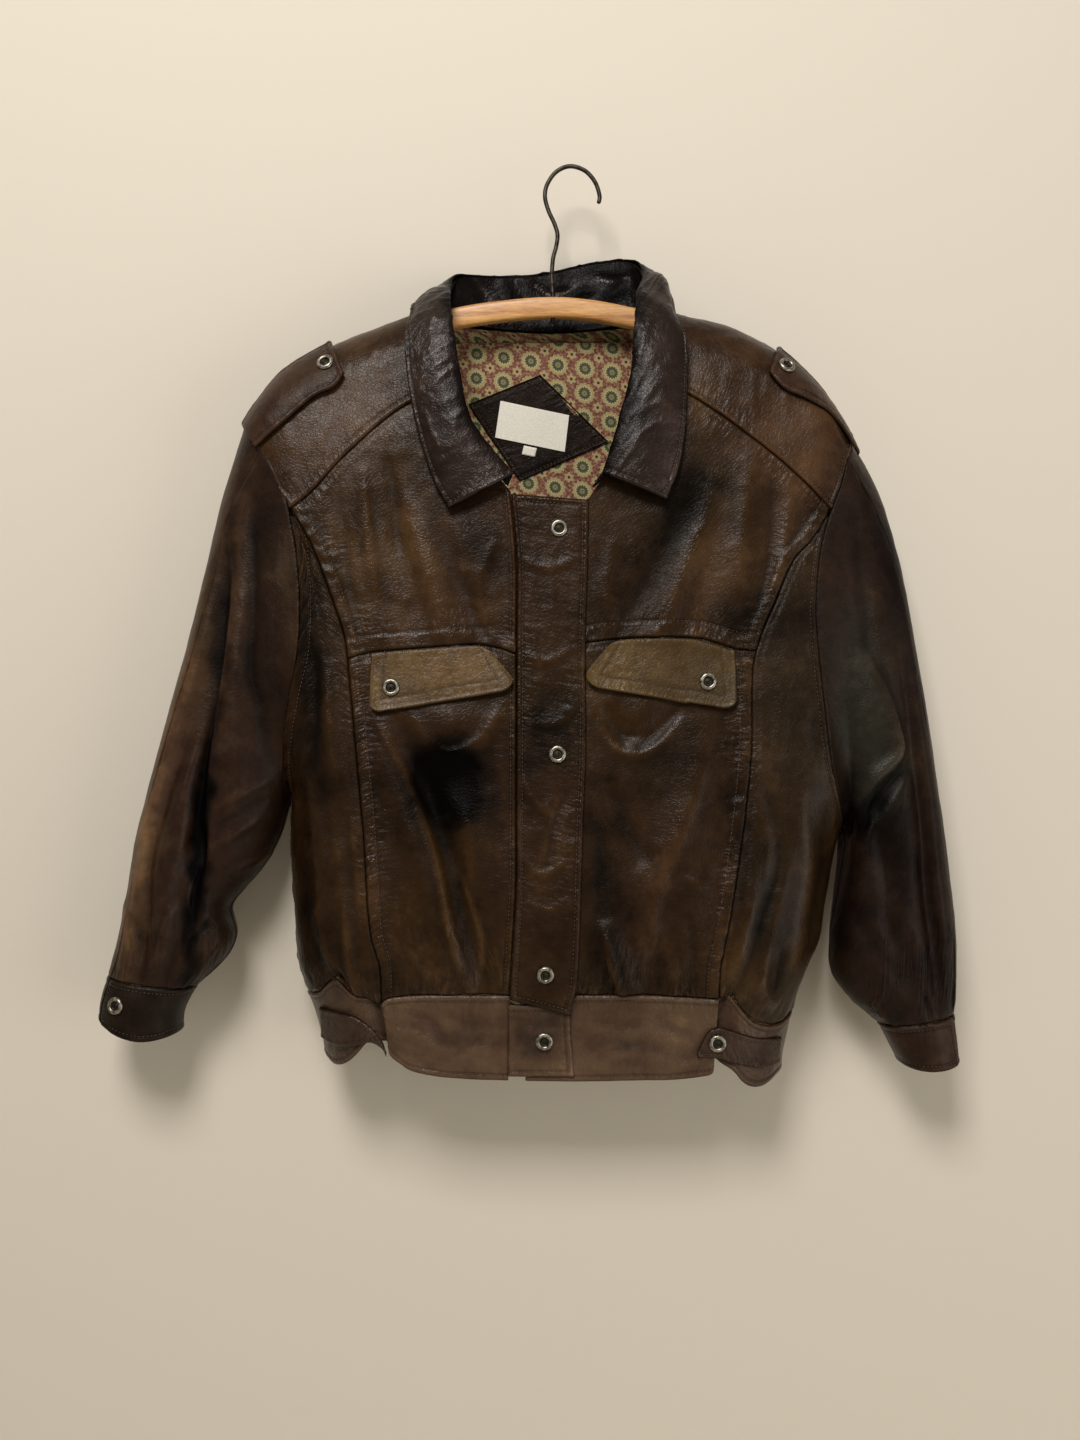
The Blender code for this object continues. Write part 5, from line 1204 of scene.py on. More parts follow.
def sleeve(side):
    letter, c, _ = sideOf(side)
    rows = sleeveLook["sections"][side]
    top, under = ridgeTop(side), form["underarm"][side]
    yokeLow = (yokeSeams[0][0] if side == 0 else yokeSeams[1][-1])[1]
    # where the sleeve's front seam begins
    start = math.acos(1 - 2 * 0.36 * (top - yokeLow) / (top - under))
    halfTurn = 118
    turns = np.concatenate([np.linspace(start, math.pi, halfTurn, endpoint=False),
            np.linspace(math.pi, 2 * math.pi + start, halfTurn + 26, endpoint=False)])
    s = (1 - np.cos(turns)) / 2
    behind = np.sin(turns) < 0
    z = mix(top, under, s)
    atEnd = s > 0.9999
    first = bodyPoint(np.where(atEnd, curve(form["sides"], z, c), curve(form["armhole"], z, c)), z, behind)
    first[..., 1] = np.where(atEnd | (s < 0.0001), 0.0, first[..., 1])
    knots = np.stack([first] + [sectionPoint(row, s, behind, k + 1) for k, row in enumerate(rows)])
    fine = walk(knots.reshape(len(knots), -1), np.linspace(0, 1, 200)).reshape(200, len(s), 3)
    length = np.linalg.norm(np.diff(fine, axis=0), axis=-1).mean(1)
    reached = np.concatenate([[0], np.cumsum(length)])
    along = np.interp(stations(reached[-1], sleeveLook["step"]) * reached[-1], reached, np.linspace(0, 1,
            200))
    grid = walk(knots.reshape(len(knots), -1), along).reshape(len(along), len(s), 3).transpose(1, 0, 2)
    normals = ringNormals(grid)
    atBody = bodyNormal(grid[:, 0], behind)
    normals[:, 0] = unit(normals[:, 0] + atBody)
    groups = tuple(sleeveLook["names"][side] + "Sleeve" + end for end in ("Front", "Back"))
    look = {"seams": ("none", "none", "plain", "gathered"), "groups": groups, "finish": "sleeve leather",
        "tone": sleeveLook["tone"][side], "hue": sleeveLook["hue"][side], "thread": "sleeves", "skin": 0.9,
        "restsOn": ["yoke_" + letter]}
    grid = np.concatenate([grid, grid[:1]])
    normals = np.concatenate([normals, normals[:1]])
    clothShell("sleeve_front_" + letter, grid[:halfTurn + 1], normals[:halfTurn + 1], dict(look,
            seed=20 + side))
    clothShell("sleeve_back_" + letter, grid[halfTurn:], normals[halfTurn:],
        dict(look, seed=22 + side))


def cuff(side):
    letter = sideOf(side)[0]
    rows = sleeveLook["cuffs"][side]
    turns = np.linspace(0, 2 * math.pi, 100, endpoint=False) + 0.6
    s, behind = (1 - np.cos(turns)) / 2, np.sin(turns) < 0
    knots = np.stack([sectionPoint(row, s, behind, 0) for row in rows])
    along = stations(44.0, 2.2)
    grid = walk(knots.reshape(len(knots), -1), along).reshape(len(along), len(s), 3).transpose(1, 0, 2)
    grid[..., 2] -= sleeveLook["sag"][side] * np.outer(np.sin(math.pi * s), (along / along[-1]) ** 2)
    normals = ringNormals(grid)
    grid, normals = np.concatenate([grid, grid[:1]]), np.concatenate([normals, normals[:1]])
    clothShell("cuff_" + letter, grid, normals, {
            "seams": ("stitched", "plain", "stitched", "hem"), "groups": ("none", "none"),
            "finish": "sleeve leather",
            "tone": (-0.10, 0.06)[side], "hue": (-0.5, 0.2)[side], "thread": "sleeves", "skin": 0.7,
            "seed": 26 + side, "restsOn": ["sleeve_front_" + letter]})


# waistband: two fronts, two sides that wrap round, a back, and the free end that snaps over
bandLook = {"hem": (-783.0, -0.045, 14.0), "tone": 0.11, "hue": 0.1, "overlap": (-53.0, -782.5, -721.0),
    "recess": 7.0,
    "tuck": 5.0}


def hemZ(x, behind=True):
    level, slope, offset = bandLook["hem"]
    return np.where(behind, level + slope * (x + offset), curve(form["hemFront"], x))


def waistZ(x, behind):
    return np.where(behind, curve(form["waistBack"], x), curve(form["waistFront"], x)) - 0.1


def waistband():
    top = form["waist"] - 0.1

    def seam(side, v):
        return curve(form["frontSeam"], mix(hemZ(0), top, v), side + 1)

    def closing(v):
        return curve(form["placket"], mix(hemZ(0), top, v), 1)

    def flat(first, last, behind):
        def place(u, v):
            x = mix(first(v), last(v), u)
            return bodyPoint(x, mix(hemZ(x, behind), waistZ(x, behind), v), behind)
        return place

    look = {"seams": ("plain", "plain", "hem", "stitched"), "thread": "band", "finish": "band leather",
        "groups": ("band", "none"), "tone": bandLook["tone"], "hue": bandLook["hue"], "skin": 1.3,
        "gather": (0.22, 0.12), "step": 2.4, "normal": onFront}
    panel("waistband_front_L", flat(lambda v: seam(0, v), closing, False), dict(look, seed=30,
            restsOn=["front_lower_L"]))
    panel("waistband_front_R", flat(lambda v: closing(v) + frontLook["underlap"], lambda v: seam(1, v),
            False),
        dict(look, seed=31, restsOn=["front_lower_R"]))
    panel("waistband_back", flat(lambda v: seam(0, v), lambda v: seam(1, v), True),
        dict(look, seed=32, normal=onBack, restsOn=["back_panel"], step=3.0))
    for side in (0, 1):
        letter, c, _ = sideOf(side)

        def place(u, v, side=side, c=c):
            share = 1 - np.cos((1 - 2 * u) * math.pi / 2)
            edge = curve(form["sides"], mix(hemZ(0), top, v), c)
            x = mix(edge, seam(side, v), share)
            z = mix(hemZ(x, u > 0.5), waistZ(x, u > 0.5), v)
            x = mix(curve(form["sides"], z, c), seam(side, v), share)
            # tucked in behind the front part
            x = x + (1, -1)[side] * bandLook["tuck"] * (1 - smooth(u, 0.0, 0.1))
            points = bodyPoint(x, z, u > 0.5)
            points[..., 1] = np.where(np.abs(u - 0.5) < 1e-6, 0.0, points[..., 1])
            return points

        panel("waistband_side_" + letter, place, dict(
                look, seed=33 + side, tone=bandLook["tone"] - 0.09, restsOn=["side_front_" + letter],
                shape=lambda u, v, base, across, along: -bandLook["recess"] * (1 - smooth(across, 3, 34)),
                normal=lambda points, u, v: bodyNormal(points, u > 0.5)))
    left, low, high = bandLook["overlap"]

    def endPlace(u, v):
        z = mix(low, high, v)
        return bodyPoint(mix(left, curve(form["placket"], z, 2), u), z)

    panel("waistband_overlap", endPlace, dict(look, seams=("plain", "stitched", "hem", "stitched"), seed=35,
            lift=cloth["lift"] + cloth["wall"], restsOn=["waistband_front_L"]))


# slack folds in the stand at the back of the neck
creases["stand"] = [([(-86, -88), (-76, -100), (-74, -116)], 5, 2.6, 0.3),
    ([(-62, -90), (-54, -104), (-58, -118)], 5, -2.4, 0),
    ([(-34, -88), (-18, -100), (2, -98)], 4, 2.4, 0.4), ([(-6, -112), (10, -100), (26, -100)], 4, -2.0, 0),
    ([(22, -84), (40, -90), (58, -86)], 4, 2.4, 0.4), ([(30, -108), (44, -100), (50, -84)], 6, -2.2, 0)]
# creases in the band run aslant, deepest beside the closing and the tabs
creases["band"] = [([(-150, -742), (-128, -748), (-104, -762)], 5, 2.2, 0.4),
    ([(-156, -758), (-138, -764), (-112, -778)], 4, -1.6, 0),
    ([(-112, -732), (-92, -742), (-66, -744)], 5, 1.8, 0.3),
    ([(-96, -768), (-82, -760), (-60, -762)], 4, 1.6, 0.4),
    ([(-136, -728), (-118, -736), (-108, -750)], 5, -1.8, 0),
    ([(12, -738), (34, -746), (60, -744)], 5, 1.6, 0.3),
    ([(24, -770), (48, -762), (80, -768)], 4, 1.6, 0.4),
    ([(68, -732), (84, -744), (104, -748)], 5, -1.6, 0),
    ([(70, -780), (96, -772), (116, -760)], 4, 1.4, 0.4),
    ([(-48, -736), (-30, -744), (-12, -742)], 4, 1.2, 0.3),
    ([(-44, -766), (-26, -760), (-8, -768)], 4, -1.2, 0)]
patches["band"] = [(-96, -748, 34, 12, 14, -0.12, -0.4), (36, -750, 44, 10, -10, -0.10, -0.1),
    (-130, -764, 24, 10, 20, 0.08, 0.3), (92, -746, 26, 14, 0, 0.09, 0.3),
    (-30, -748, 20, 22, 0, -0.12, -0.5), (-72, -772, 26, 8, 0, 0.08, 0.3), (10, -774, 30, 8, 0, 0.08, 0.0)]


# placket: a long strip laid over the closing, creased crossways
placketLook = {"low": (-716.0, -730.0), "high": (-295.0, -300.0), "tone": -0.05, "pinch": 0.5, "over": 2.6}


def placket():
    def place(u, v):
        z = mix(mix(*placketLook["low"], u), mix(*placketLook["high"], u), v)
        return bodyPoint(mix(curve(form["placket"], z, 1), curve(form["placket"], z, 2), u), z)

    def shape(u, v, base, across, along):
        x, z = base[..., 0], base[..., 2]
        bend = 6 * noise(x / 30, z / 60, 51)
        cross = 1 - np.abs(noise(x / 34 + 3, (z + bend) / 15, 52)) * 2.4
        small = 1 - np.abs(noise(x / 14, (z + bend) / 7, 53)) * 2.2
        strength = 0.6 + 0.4 * noise(x / 60, z / 70, 54)
        creased = 0.8 * np.maximum(cross, 0) ** 2 + 0.4 * np.maximum(small, 0) ** 2
        return placketLook["pinch"] * strength * creased + placketLook["over"] * smooth(-z, 698, 716)

    def normal(points, u, v):
        return bodyNormal(points, False)

    item = panel("placket", place, {
            "seams": ("stitched", "stitched", "hem", "stitched"), "thread": "front",
            "tone": placketLook["tone"], "gather": (0.14, 0.0),
            "hue": 0.35, "lift": cloth["lift"] + cloth["wall"], "shape": shape, "step": 2.2, "seed": 40,
            "finish": "body leather", "groups": ("placket", "none"), "normal": normal,
            "restsOn": ["front_upper_L"]})
    return item


patches["placket"] = [(-14, -486, 30, 40, 0, -0.16, -0.7), (-16, -590, 20, 56, 0, 0.08, -0.25),
    (-10, -380, 30, 60, 0, 0.02, 0.0), (-20, -680, 30, 30, 0, -0.05, -0.3),
    (4, -620, 6, 90, 0, 0.05, 0.2), (-40, -330, 16, 30, 0, -0.10, 0.0)]
creases["placket"] = [([(-42, -532), (-30, -552), (-14, -566)], 4, 1.6, 0.4),
    ([(-2, -540), (-14, -572), (-20, -610)], 5, -1.6, 0),
    ([(-40, -602), (-24, -612), (-8, -604)], 3, 1.4, 0.3),
    ([(-36, -636), (-20, -642), (0, -634)], 3, 1.2, 0),
    ([(6, -470), (-8, -486), (-30, -492)], 4, 1.4, 0.4),
    ([(-40, -352), (-20, -358), (4, -350)], 4, 1.2, 0),
    ([(-38, -430), (-22, -436), (0, -426)], 4, 1.2, 0.3)]


def rounded(distance, radius):
    inside = np.clip(radius - distance, 0, radius)
    return np.where(distance >= radius, 0.0, radius - np.sqrt(np.maximum(radius ** 2 - inside ** 2, 0)))


# pocket flaps: x left and right, top z at each end, bottom z at each end, corner; they stand off below
flapLook = {"sizes": ((-168, -49, -481, -461, 11, 18), (12, 137, -458, -478, 12, 19)), "stand": 4.5,
    "tone": (0.06, 0.02), "hue": (0.1, -0.05)}


def flap(side):
    letter = sideOf(side)[0]
    x0, x1, lowA, lowB, corner, slant = flapLook["sizes"][side]

    def place(u, v):
        f = (1 - np.cos(math.pi * u)) / 2
        cut = slant * v ** 1.4
        x = mix(x0, x1 - cut, f) if side == 0 else mix(x0 + cut, x1, f)
        low = mix(lowA, lowB, f) + rounded(np.minimum(f, 1 - f) * (x1 - x0), corner) * 0.8
        top = curve(form["chestSeam"][side], x) - 1.2 - 4 * np.clip(1 - (1 - f if side == 0 else f) / 0.12,
            0, 1) ** 2
        return bodyPoint(x, mix(low, top, v))

    def shape(u, v, base, across, along):
        return flapLook["stand"] * (1 - v) ** 1.5 * (0.8 + 0.25 * np.cos(2 * math.pi * u))

    panel("pocket_flap_" + letter, place, {
            "seams": ("piped", "piped", "piped", "plain"), "thread": "flaps", "inset": 11.5,
            "finish": "flap leather",
            "slot": "leather_olive", "tone": flapLook["tone"][side], "hue": flapLook["hue"][side],
            "shape": shape,
            "lift": cloth["lift"] + cloth["wall"], "step": 2.2, "seed": 42 + side, "skin": 0.8,
            "groups": ("none", "none"),
            "normal": onFront, "restsOn": ["front_upper_" + letter]})


# epaulettes: from the armhole to the snap end: lower x z, upper x z
epauletteLook = {"rows": ([(-266, -255, -283, -230), (-243, -235, -270, -209), (-218, -213, -250, -186),
            (-201, -205, -227, -170), (-192, -193, -206, -160)],
        [(245, -259, 243, -240), (221, -229, 231, -220), (197, -214, 214, -197),
            (180, -206, 197, -179), (167, -192, 178, -164)]),
    "lift": 2.9, "tone": (0.10, 0.10), "hue": (0.3, 0.4)}


def epaulette(side):
    letter = sideOf(side)[0]

    def place(u, v):
        row = walk(epauletteLook["rows"][side], u)
        share = (1 - v) ** 2
        x, z = mix(row[..., 2], row[..., 0], share), mix(row[..., 3], row[..., 1], share)
        return bodyPoint(x, np.minimum(z, curve(form["ridge"], x) - 1.0))

    def shape(u, v, base, across, along):
        return 1.6 * (1 - v) ** 2 + 1.2 * u ** 3

    panel("epaulette_" + letter, place, {
            "seams": ("plain", "stitched", "stitched", "stitched"), "thread": "flaps",
            "finish": "sleeve leather",
            "slot": "leather_olive", "tone": epauletteLook["tone"][side], "hue": epauletteLook["hue"][side],
            "lift": epauletteLook["lift"], "shape": shape, "step": 2.0, "seed": 44 + side, "skin": 0.8,
            "groups": ("none", "none"), "normal": onFront, "restsOn": ["yoke_" + letter]})


# waist tabs from the free end to the side: x, top z, bottom z
tabLook = {"rows": ([(-153.5, -760.5, -764), (-158, -750, -757), (-167, -740, -753), (-180, -731.5, -757),
            (-197, -729, -760), (-212, -728, -757)],
        [(104, -762.5, -765.5), (107.5, -754, -766), (114, -743.5, -766.5), (123, -741, -767),
            (132, -743, -770.5), (152, -750, -776), (165, -752.5, -779), (177, -754, -778)]),
    "free": (6.0, 2.0)}


def waistTab(side):
    letter = sideOf(side)[0]

    def place(u, v):
        row = walk(tabLook["rows"][side], u)
        return bodyPoint(row[..., 0], mix(row[..., 2], row[..., 1], v))

    panel("waist_tab_" + letter, place, {
            "seams": ("stitched", "plain", "stitched", "stitched"), "thread": "flaps",
            "finish": "band leather",
            "tone": -0.10, "hue": 0.0, "lift": cloth["lift"] + cloth["wall"] + 0.2, "inset": 3.5,
            "shape": lambda u, v, base, across, along: tabLook["free"][side] * (1 - u) ** 2,
            "step": 1.8, "seed": 46 + side, "skin": 0.6, "groups": ("none", "none"), "normal": onFront,
            "restsOn": ["waistband_side_" + letter]})


for eachSide in (0, 1):
    sleeve(eachSide)
    cuff(eachSide)
    flap(eachSide)
    epaulette(eachSide)
    waistTab(eachSide)
waistband()
placket()
print("stage: sleeves, band, placket, flaps and tabs sewn")

# collar: rows round the neck: seam x y z, roll x y z, edge x y z
collarLook = {
    "rows": [(-54, -53, -289, -50, -57, -281, -103, -59, -309), (-92, -51, -242, -85, -58, -237, -117, -58,
            -283),
        (-105, -48, -203, -95, -55, -197, -131, -56, -238), (-115, -44, -164, -101, -51, -158, -138, -54,
            -200),
        (-120, -31, -139, -105, -36, -130, -141, -50, -168), (-121, -17, -129, -106, -19, -116, -139, -36,
            -143),
        (-120, 0, -123, -106, -2, -108, -137, -8, -124), (-106, 18, -129, -99, 17, -91, -128, 34, -138),
        (-62, 26, -135.4, -62, 29, -88, -74, 40, -150), (-20, 27.3, -137.5, -20, 32, -84, -21, 41, -156),
        (22, 26.5, -135.5, 22, 30, -75, 32, 41, -150), (65, 17, -128, 57, 20, -77, 82.5, 35.5, -135.5),
        (78, 0, -121, 65, -2, -98, 88.5, -8, -118.5), (77.5, -18.5, -128, 62, -20, -112, 91, -36, -141),
        (76, -33, -140, 58, -37, -127, 98, -50, -166), (69.5, -45.5, -164, 55, -52, -158, 98, -54, -205),
        (62, -48, -200, 52, -55, -197, 96, -57, -240), (50, -51, -242, 42, -58, -237, 91, -58, -272),
        (19, -54, -291, 29, -58, -281, 80, -60, -301)],
    "bulge": 4.5, "stand": 3.8, "tone": -0.06, "hue": 0.05,
    # the roll stands fuller over the shoulders: place round the neck, reach, extra bulge
    "fuller": ((0.655, 0.055, 7.0), (0.345, 0.05, 2.5))}


def collarRow(t):
    row = walk(collarLook["rows"], t)
    return row[..., 0:3], row[..., 3:6], row[..., 6:9]


def collarOut(t):
    _, before, _ = collarRow(np.maximum(t - 0.01, 0))
    _, after, _ = collarRow(np.minimum(t + 0.01, 1))
    _, roll, edge = collarRow(t)
    tangent = unit(after - before)
    normal = unit(np.cross(tangent, edge - roll))
    away = stack((roll[..., 0] + 20) * 0.3, roll[..., 1], 10)
    return normal * np.where((normal * away).sum(-1, keepdims=True) > 0, 1.0, -1.0), tangent


def collarCrumple(u, v, base, across, along):
    turn = noise(across / 26, along / 60, 61)
    ridges = 1 - np.abs(noise(across / 17 + turn, along / 34, 62)) * 2.2
    fine = 1 - np.abs(noise(across / 8 + turn, along / 16, 63)) * 2.2
    return 0.9 * np.maximum(ridges, 0) ** 2 + 0.45 * np.maximum(fine, 0) ** 2 - 0.4


def collar():
    def stand(u, v):
        seam, roll, _ = collarRow(u)
        return mix(seam, roll, v[..., None])

    def standNormal(points, u, v):
        normals = gridNormals(points)
        seam, roll, edge = collarRow(u)
        towards = edge - mix(seam, roll, 0.5)
        return normals * np.where((normals * towards).sum(-1, keepdims=True) > 0, 1.0, -1.0)

    def fall(u, v):
        _, roll, edge = collarRow(u)
        out, tangent = collarOut(u)
        up = np.cross(out, tangent)
        up = up * np.where(((roll - edge) * up).sum(-1, keepdims=True) > 0, 1.0, -1.0)
        start = roll + out * collarLook["stand"]
        full = collarLook["bulge"] + sum(more * np.exp(-((u - place) / reach) ** 2)
            for place, reach, more in collarLook["fuller"])
        bulge = out * full[..., None]
        # over the stand's top, round the roll, and down to the edge
        knots = np.stack([roll + up * 3.0 + out * 0.8, roll + up * 2.6 + out * 2.9, mix(start, edge,
                    0.10) + bulge * 0.45,
                mix(start, edge, 0.38) + bulge * 0.95, mix(start, edge, 0.70) + bulge * 0.75, edge])
        at = np.interp(v, [0, 0.03, 0.13, 0.40, 0.71, 1.0], np.linspace(0, 1, 6))
        place = at * 5
        i = np.minimum(place.astype(int), 4)
        f = (place - i)[..., None]

        def knot(k):
            return np.take_along_axis(knots, np.broadcast_to(np.clip(i + k, 0, 5)[None, ..., None],
                    (1,) + i.shape + (3,)), 0)[0]

        p, q, r, s = (knot(k) for k in (-1, 0, 1, 2))
        return between(p, q, r, s, f)

    def fallNormal(points, u, v):
        normals = gridNormals(points)
        out, _ = collarOut(u)
        middle = normals[normals.shape[0] // 2, normals.shape[1] // 2]
        return normals if middle @ out[normals.shape[0] // 2, normals.shape[1] // 2] > 0 else -normals

    # painted shade along the roll line, where the fall turns over the stand
    def rollPaintedShade(u, v, base, across, along):
        return -0.30 * np.exp(-(v / 0.13) ** 2)

    # the stand is toned much darker than the fall, from the same leather: painted shade inside the neck
    panel("collar_stand", stand, {"seams": ("plain", "plain", "plain", "none"), "slot": "leather_dark",
            "finish": "collar leather", "inside": "collar leather", "tone": -0.34,
            "skin": 1.0, "seed": 60, "groups": ("none", "stand"), "normal": standNormal,
            "restsOn": ["back_yoke"]})
    panel("collar_fall", fall, {"seams": ("stitched", "stitched", "none", "stitched"), "thread": "collar",
            "finish": "collar leather", "inside": "collar leather", "wall": cloth["collarWall"],
            "tone": collarLook["tone"], "shade": rollPaintedShade, "hue": collarLook["hue"],
            "shape": collarCrumple,
            "skin": 0.8, "step": 2.2, "seed": 61, "groups": ("collar", "none"),
            "normal": fallNormal, "restsOn": ["collar_stand"]})


# lining at the neck, the leather patch on it and two blank labels; corners x, z from low left
liningPieces = {
    "lining_back": {"corners": [(-118, -332), (76, -332), (72, -146), (-114, -146)], "depth": 2.8,
        "wall": cloth["liningWall"], "finish": "lining cloth", "slot": "lining_cloth", "wave": 1.6},
    "label_patch": {"corners": [(-91, -201), (-45, -270), (35, -234), (-26, -175)], "depth": 4.5, "wall": 1.3,
        "finish": "sleeve leather", "slot": "leather_dark", "wave": 0.6, "tone": -0.16},
    "label_blank": {"corners": [(-67, -231), (-4, -244), (0, -211), (-62, -198)], "depth": 6.4, "wall": 0.8,
        "finish": "label satin", "slot": "label_cloth", "wave": 0.5},
    "size_tab": {"corners": [(-43, -246), (-31, -248.5), (-29, -240.3), (-41, -237.8)], "depth": 6.4,
        "wall": 0.7,
        "finish": "label satin", "slot": "label_cloth", "wave": 0.2},
    }


def liningPiece(name, entry):
    (ax, az), (bx, bz), (cx, cz), (dx, dz) = entry["corners"]

    def place(u, v):
        return bodyPoint(mix(mix(ax, bx, u), mix(dx, cx, u), v), mix(mix(az, bz, u), mix(dz, cz, u), v), True)

    def shape(u, v, base, across, along):
        return entry["wave"] * (noise(across / 40, along / 70, 71) - 0.5) * 0.9

    kinds = ("stitched",) * 4 if name == "label_patch" else ("none",) * 4
    panel(name, place, {"seams": kinds, "thread": "patch" if name == "label_patch" else None, "inset": 3.0,
            "lift": -entry["depth"], "wall": entry["wall"], "finish": entry["finish"],
            "inside": entry["finish"], "slot": entry["slot"], "shape": shape, "skin": 0.0,
            "groups": ("none", "none"), "tone": entry.get("tone", 0.0), "normal": onBack,
            "seed": 70, "stitchInside": True, "restsOn": ["back_yoke"]})


collar()
for liningName, liningEntry in liningPieces.items():
    liningPiece(liningName, liningEntry)
print("stage: collar and lining sewn")


def plainObject(name, points, faces, finish, node=None, smoothFaces=True, second=None,
        secondFaces=()):
    mesh = bpy.data.meshes.new(name)
    mesh.from_pydata((np.asarray(points) * 0.001).tolist(), [], faces)
    mesh.materials.append(finishes[finish])
    if second:
        mesh.materials.append(finishes[second])
        for k in secondFaces:
            mesh.polygons[k].material_index = 1
    mesh.polygons.foreach_set("use_smooth", np.full(len(faces), smoothFaces))
    mesh.update()
    item = bpy.data.objects.new(name, mesh)
    bpy.context.scene.collection.objects.link(item)
    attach(item, "root")
    if node:
        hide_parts(node)
    return item


# snaps: turned nickel caps, a rolled bright rim round a sunk, tarnished middle: radius, height
snapLook = {
    "profile": [(0.0, 0.9), (1.6, 0.9), (2.1, 0.5), (2.7, 0.3), (3.2, 0.5), (3.7, 1.1), (4.1, 1.9), (4.7,
            2.45),
        (5.5, 2.6), (6.4, 2.35), (7.1, 1.7), (7.45, 0.9), (7.45, -0.2), (0.0, -0.2)],
    "darkUnder": 3.6, "steps": 40, "behind": ("snap_cuff_R",),
    "places": [("snap_placket_top", -10, -324, "placket"), ("snap_placket_middle", -12, -514, "placket"),
        ("snap_placket_low", -22, -696, "placket"), ("snap_band", -22, -753, "waistband_overlap"),
        ("snap_flap_L", -151, -458, "pocket_flap_L"), ("snap_flap_R", 114, -453, "pocket_flap_R"),
        ("snap_epaulette_L", -209, -182, "epaulette_L"), ("snap_epaulette_R", 183, -184, "epaulette_R"),
        ("snap_tab_R", 121, -754, "waist_tab_R"),
        ("snap_cuff_L", -386, -728, "cuff_L"), ("snap_cuff_R", 321, -762, "cuff_R")],
    }


def snap(name, x, z, seat):
    points, normals = seats[seat]
    wrongSide = normals[:, 1] < 0 if name in snapLook["behind"] else normals[:, 1] > 0
    near = np.argsort(np.hypot(points[:, 0] - x, points[:, 2] - z) + 60 * wrongSide)[:60]
    axis = unit(normals[near].mean(0))
    centre = points[near[:8]].mean(0)
    centre = centre + axis * ((points[near] - centre) @ axis).max() * 0.6
    across = unit(np.cross(axis, [0.0, 0.0, 1.0]))
    up = np.cross(across, axis)
    steps = snapLook["steps"]
    turns = np.arange(steps) * 2 * math.pi / steps
    rings, faces, dark = [], [], []
    profile = snapLook["profile"]
    rings.append(centre + axis * profile[0][1])
    for radius, height in profile[1:-1]:
        rings.extend(centre + axis * height + radius * (math.cos(a) * across + math.sin(a) * up)
                     for a in turns)
    rings.append(centre + axis * profile[-1][1])
    for k in range(steps):
        n = (k + 1) % steps
        faces.append((0, 1 + n, 1 + k))
        dark.append(len(faces) - 1)
    for r in range(len(profile) - 3):
        low, high = 1 + r * steps, 1 + (r + 1) * steps
        for k in range(steps):
            n = (k + 1) % steps
            faces.append((low + k, low + n, high + n, high + k))
            if profile[r + 2][0] <= snapLook["darkUnder"] + 0.5:
                dark.append(len(faces) - 1)
    last = 1 + (len(profile) - 3) * steps
    faces += [(last + k, last + (k + 1) % steps, len(rings) - 1) for k in range(steps)]
    points = np.array(rings)
    a, b, c = (points[i] for i in faces[steps][:3])
    if np.cross(b - a, c - a) @ axis < 0:
        faces = [face[::-1] for face in faces]
    plainObject(name + "_look", points, faces, "nickel snap", name, True, "tarnished nickel",
        dark)


for snapPlace in snapLook["places"]:
    snap(*snapPlace)


# a tube through stations of closed rings, with flat ends
def tube(name, rings, finish, node):
    count = len(rings[0])
    points = np.concatenate(list(rings) + [[rings[0].mean(0)], [rings[-1].mean(0)]])
    faces = []
    for r in range(len(rings) - 1):
        for k in range(count):
            n = (k + 1) % count
            faces.append((r * count + k, r * count + n, (r + 1) * count + n, (r + 1) * count + k))
    first, last, end = len(points) - 2, len(points) - 1, (len(rings) - 1) * count
    faces += [((k + 1) % count, k, first) for k in range(count)]
    faces += [(end + k, end + (k + 1) % count, last) for k in range(count)]
    middle = (points[0] + points[count]) / 2 - rings[0].mean(0)
    a, b, c = (points[i] for i in faces[0][:3])
    if np.cross(b - a, c - a) @ middle < 0:
        faces = [face[::-1] for face in faces]
    return plainObject(name, points, faces, finish, node)


# hanger: a sprung beech bar, 18 x 12 with eased edges, and a 3.8 steel wire hook
hangerLook = {
    "top": [(-206, -161), (-170, -148), (-141, -138), (-122, -131), (-105, -124.5), (-62, -117.5), (-15,
            -114),
        (18, -116.5), (46, -121.5), (80, -129), (95, -134), (134, -145), (168, -160)],
    "tall": 18.0, "thick": 12.0, "ease": 3.2,
    "hook": [(25, -31), (26, -24), (22, -12), (13, -2), (0, 1.9), (-12, -3), (-20, -14), (-22, -25), (-19,
            -37),
        (-14, -48), (-11, -58), (-12, -68), (-15, -80), (-16, -95), (-15, -113), (-15, -136)],
    "wire": 1.9,
    }


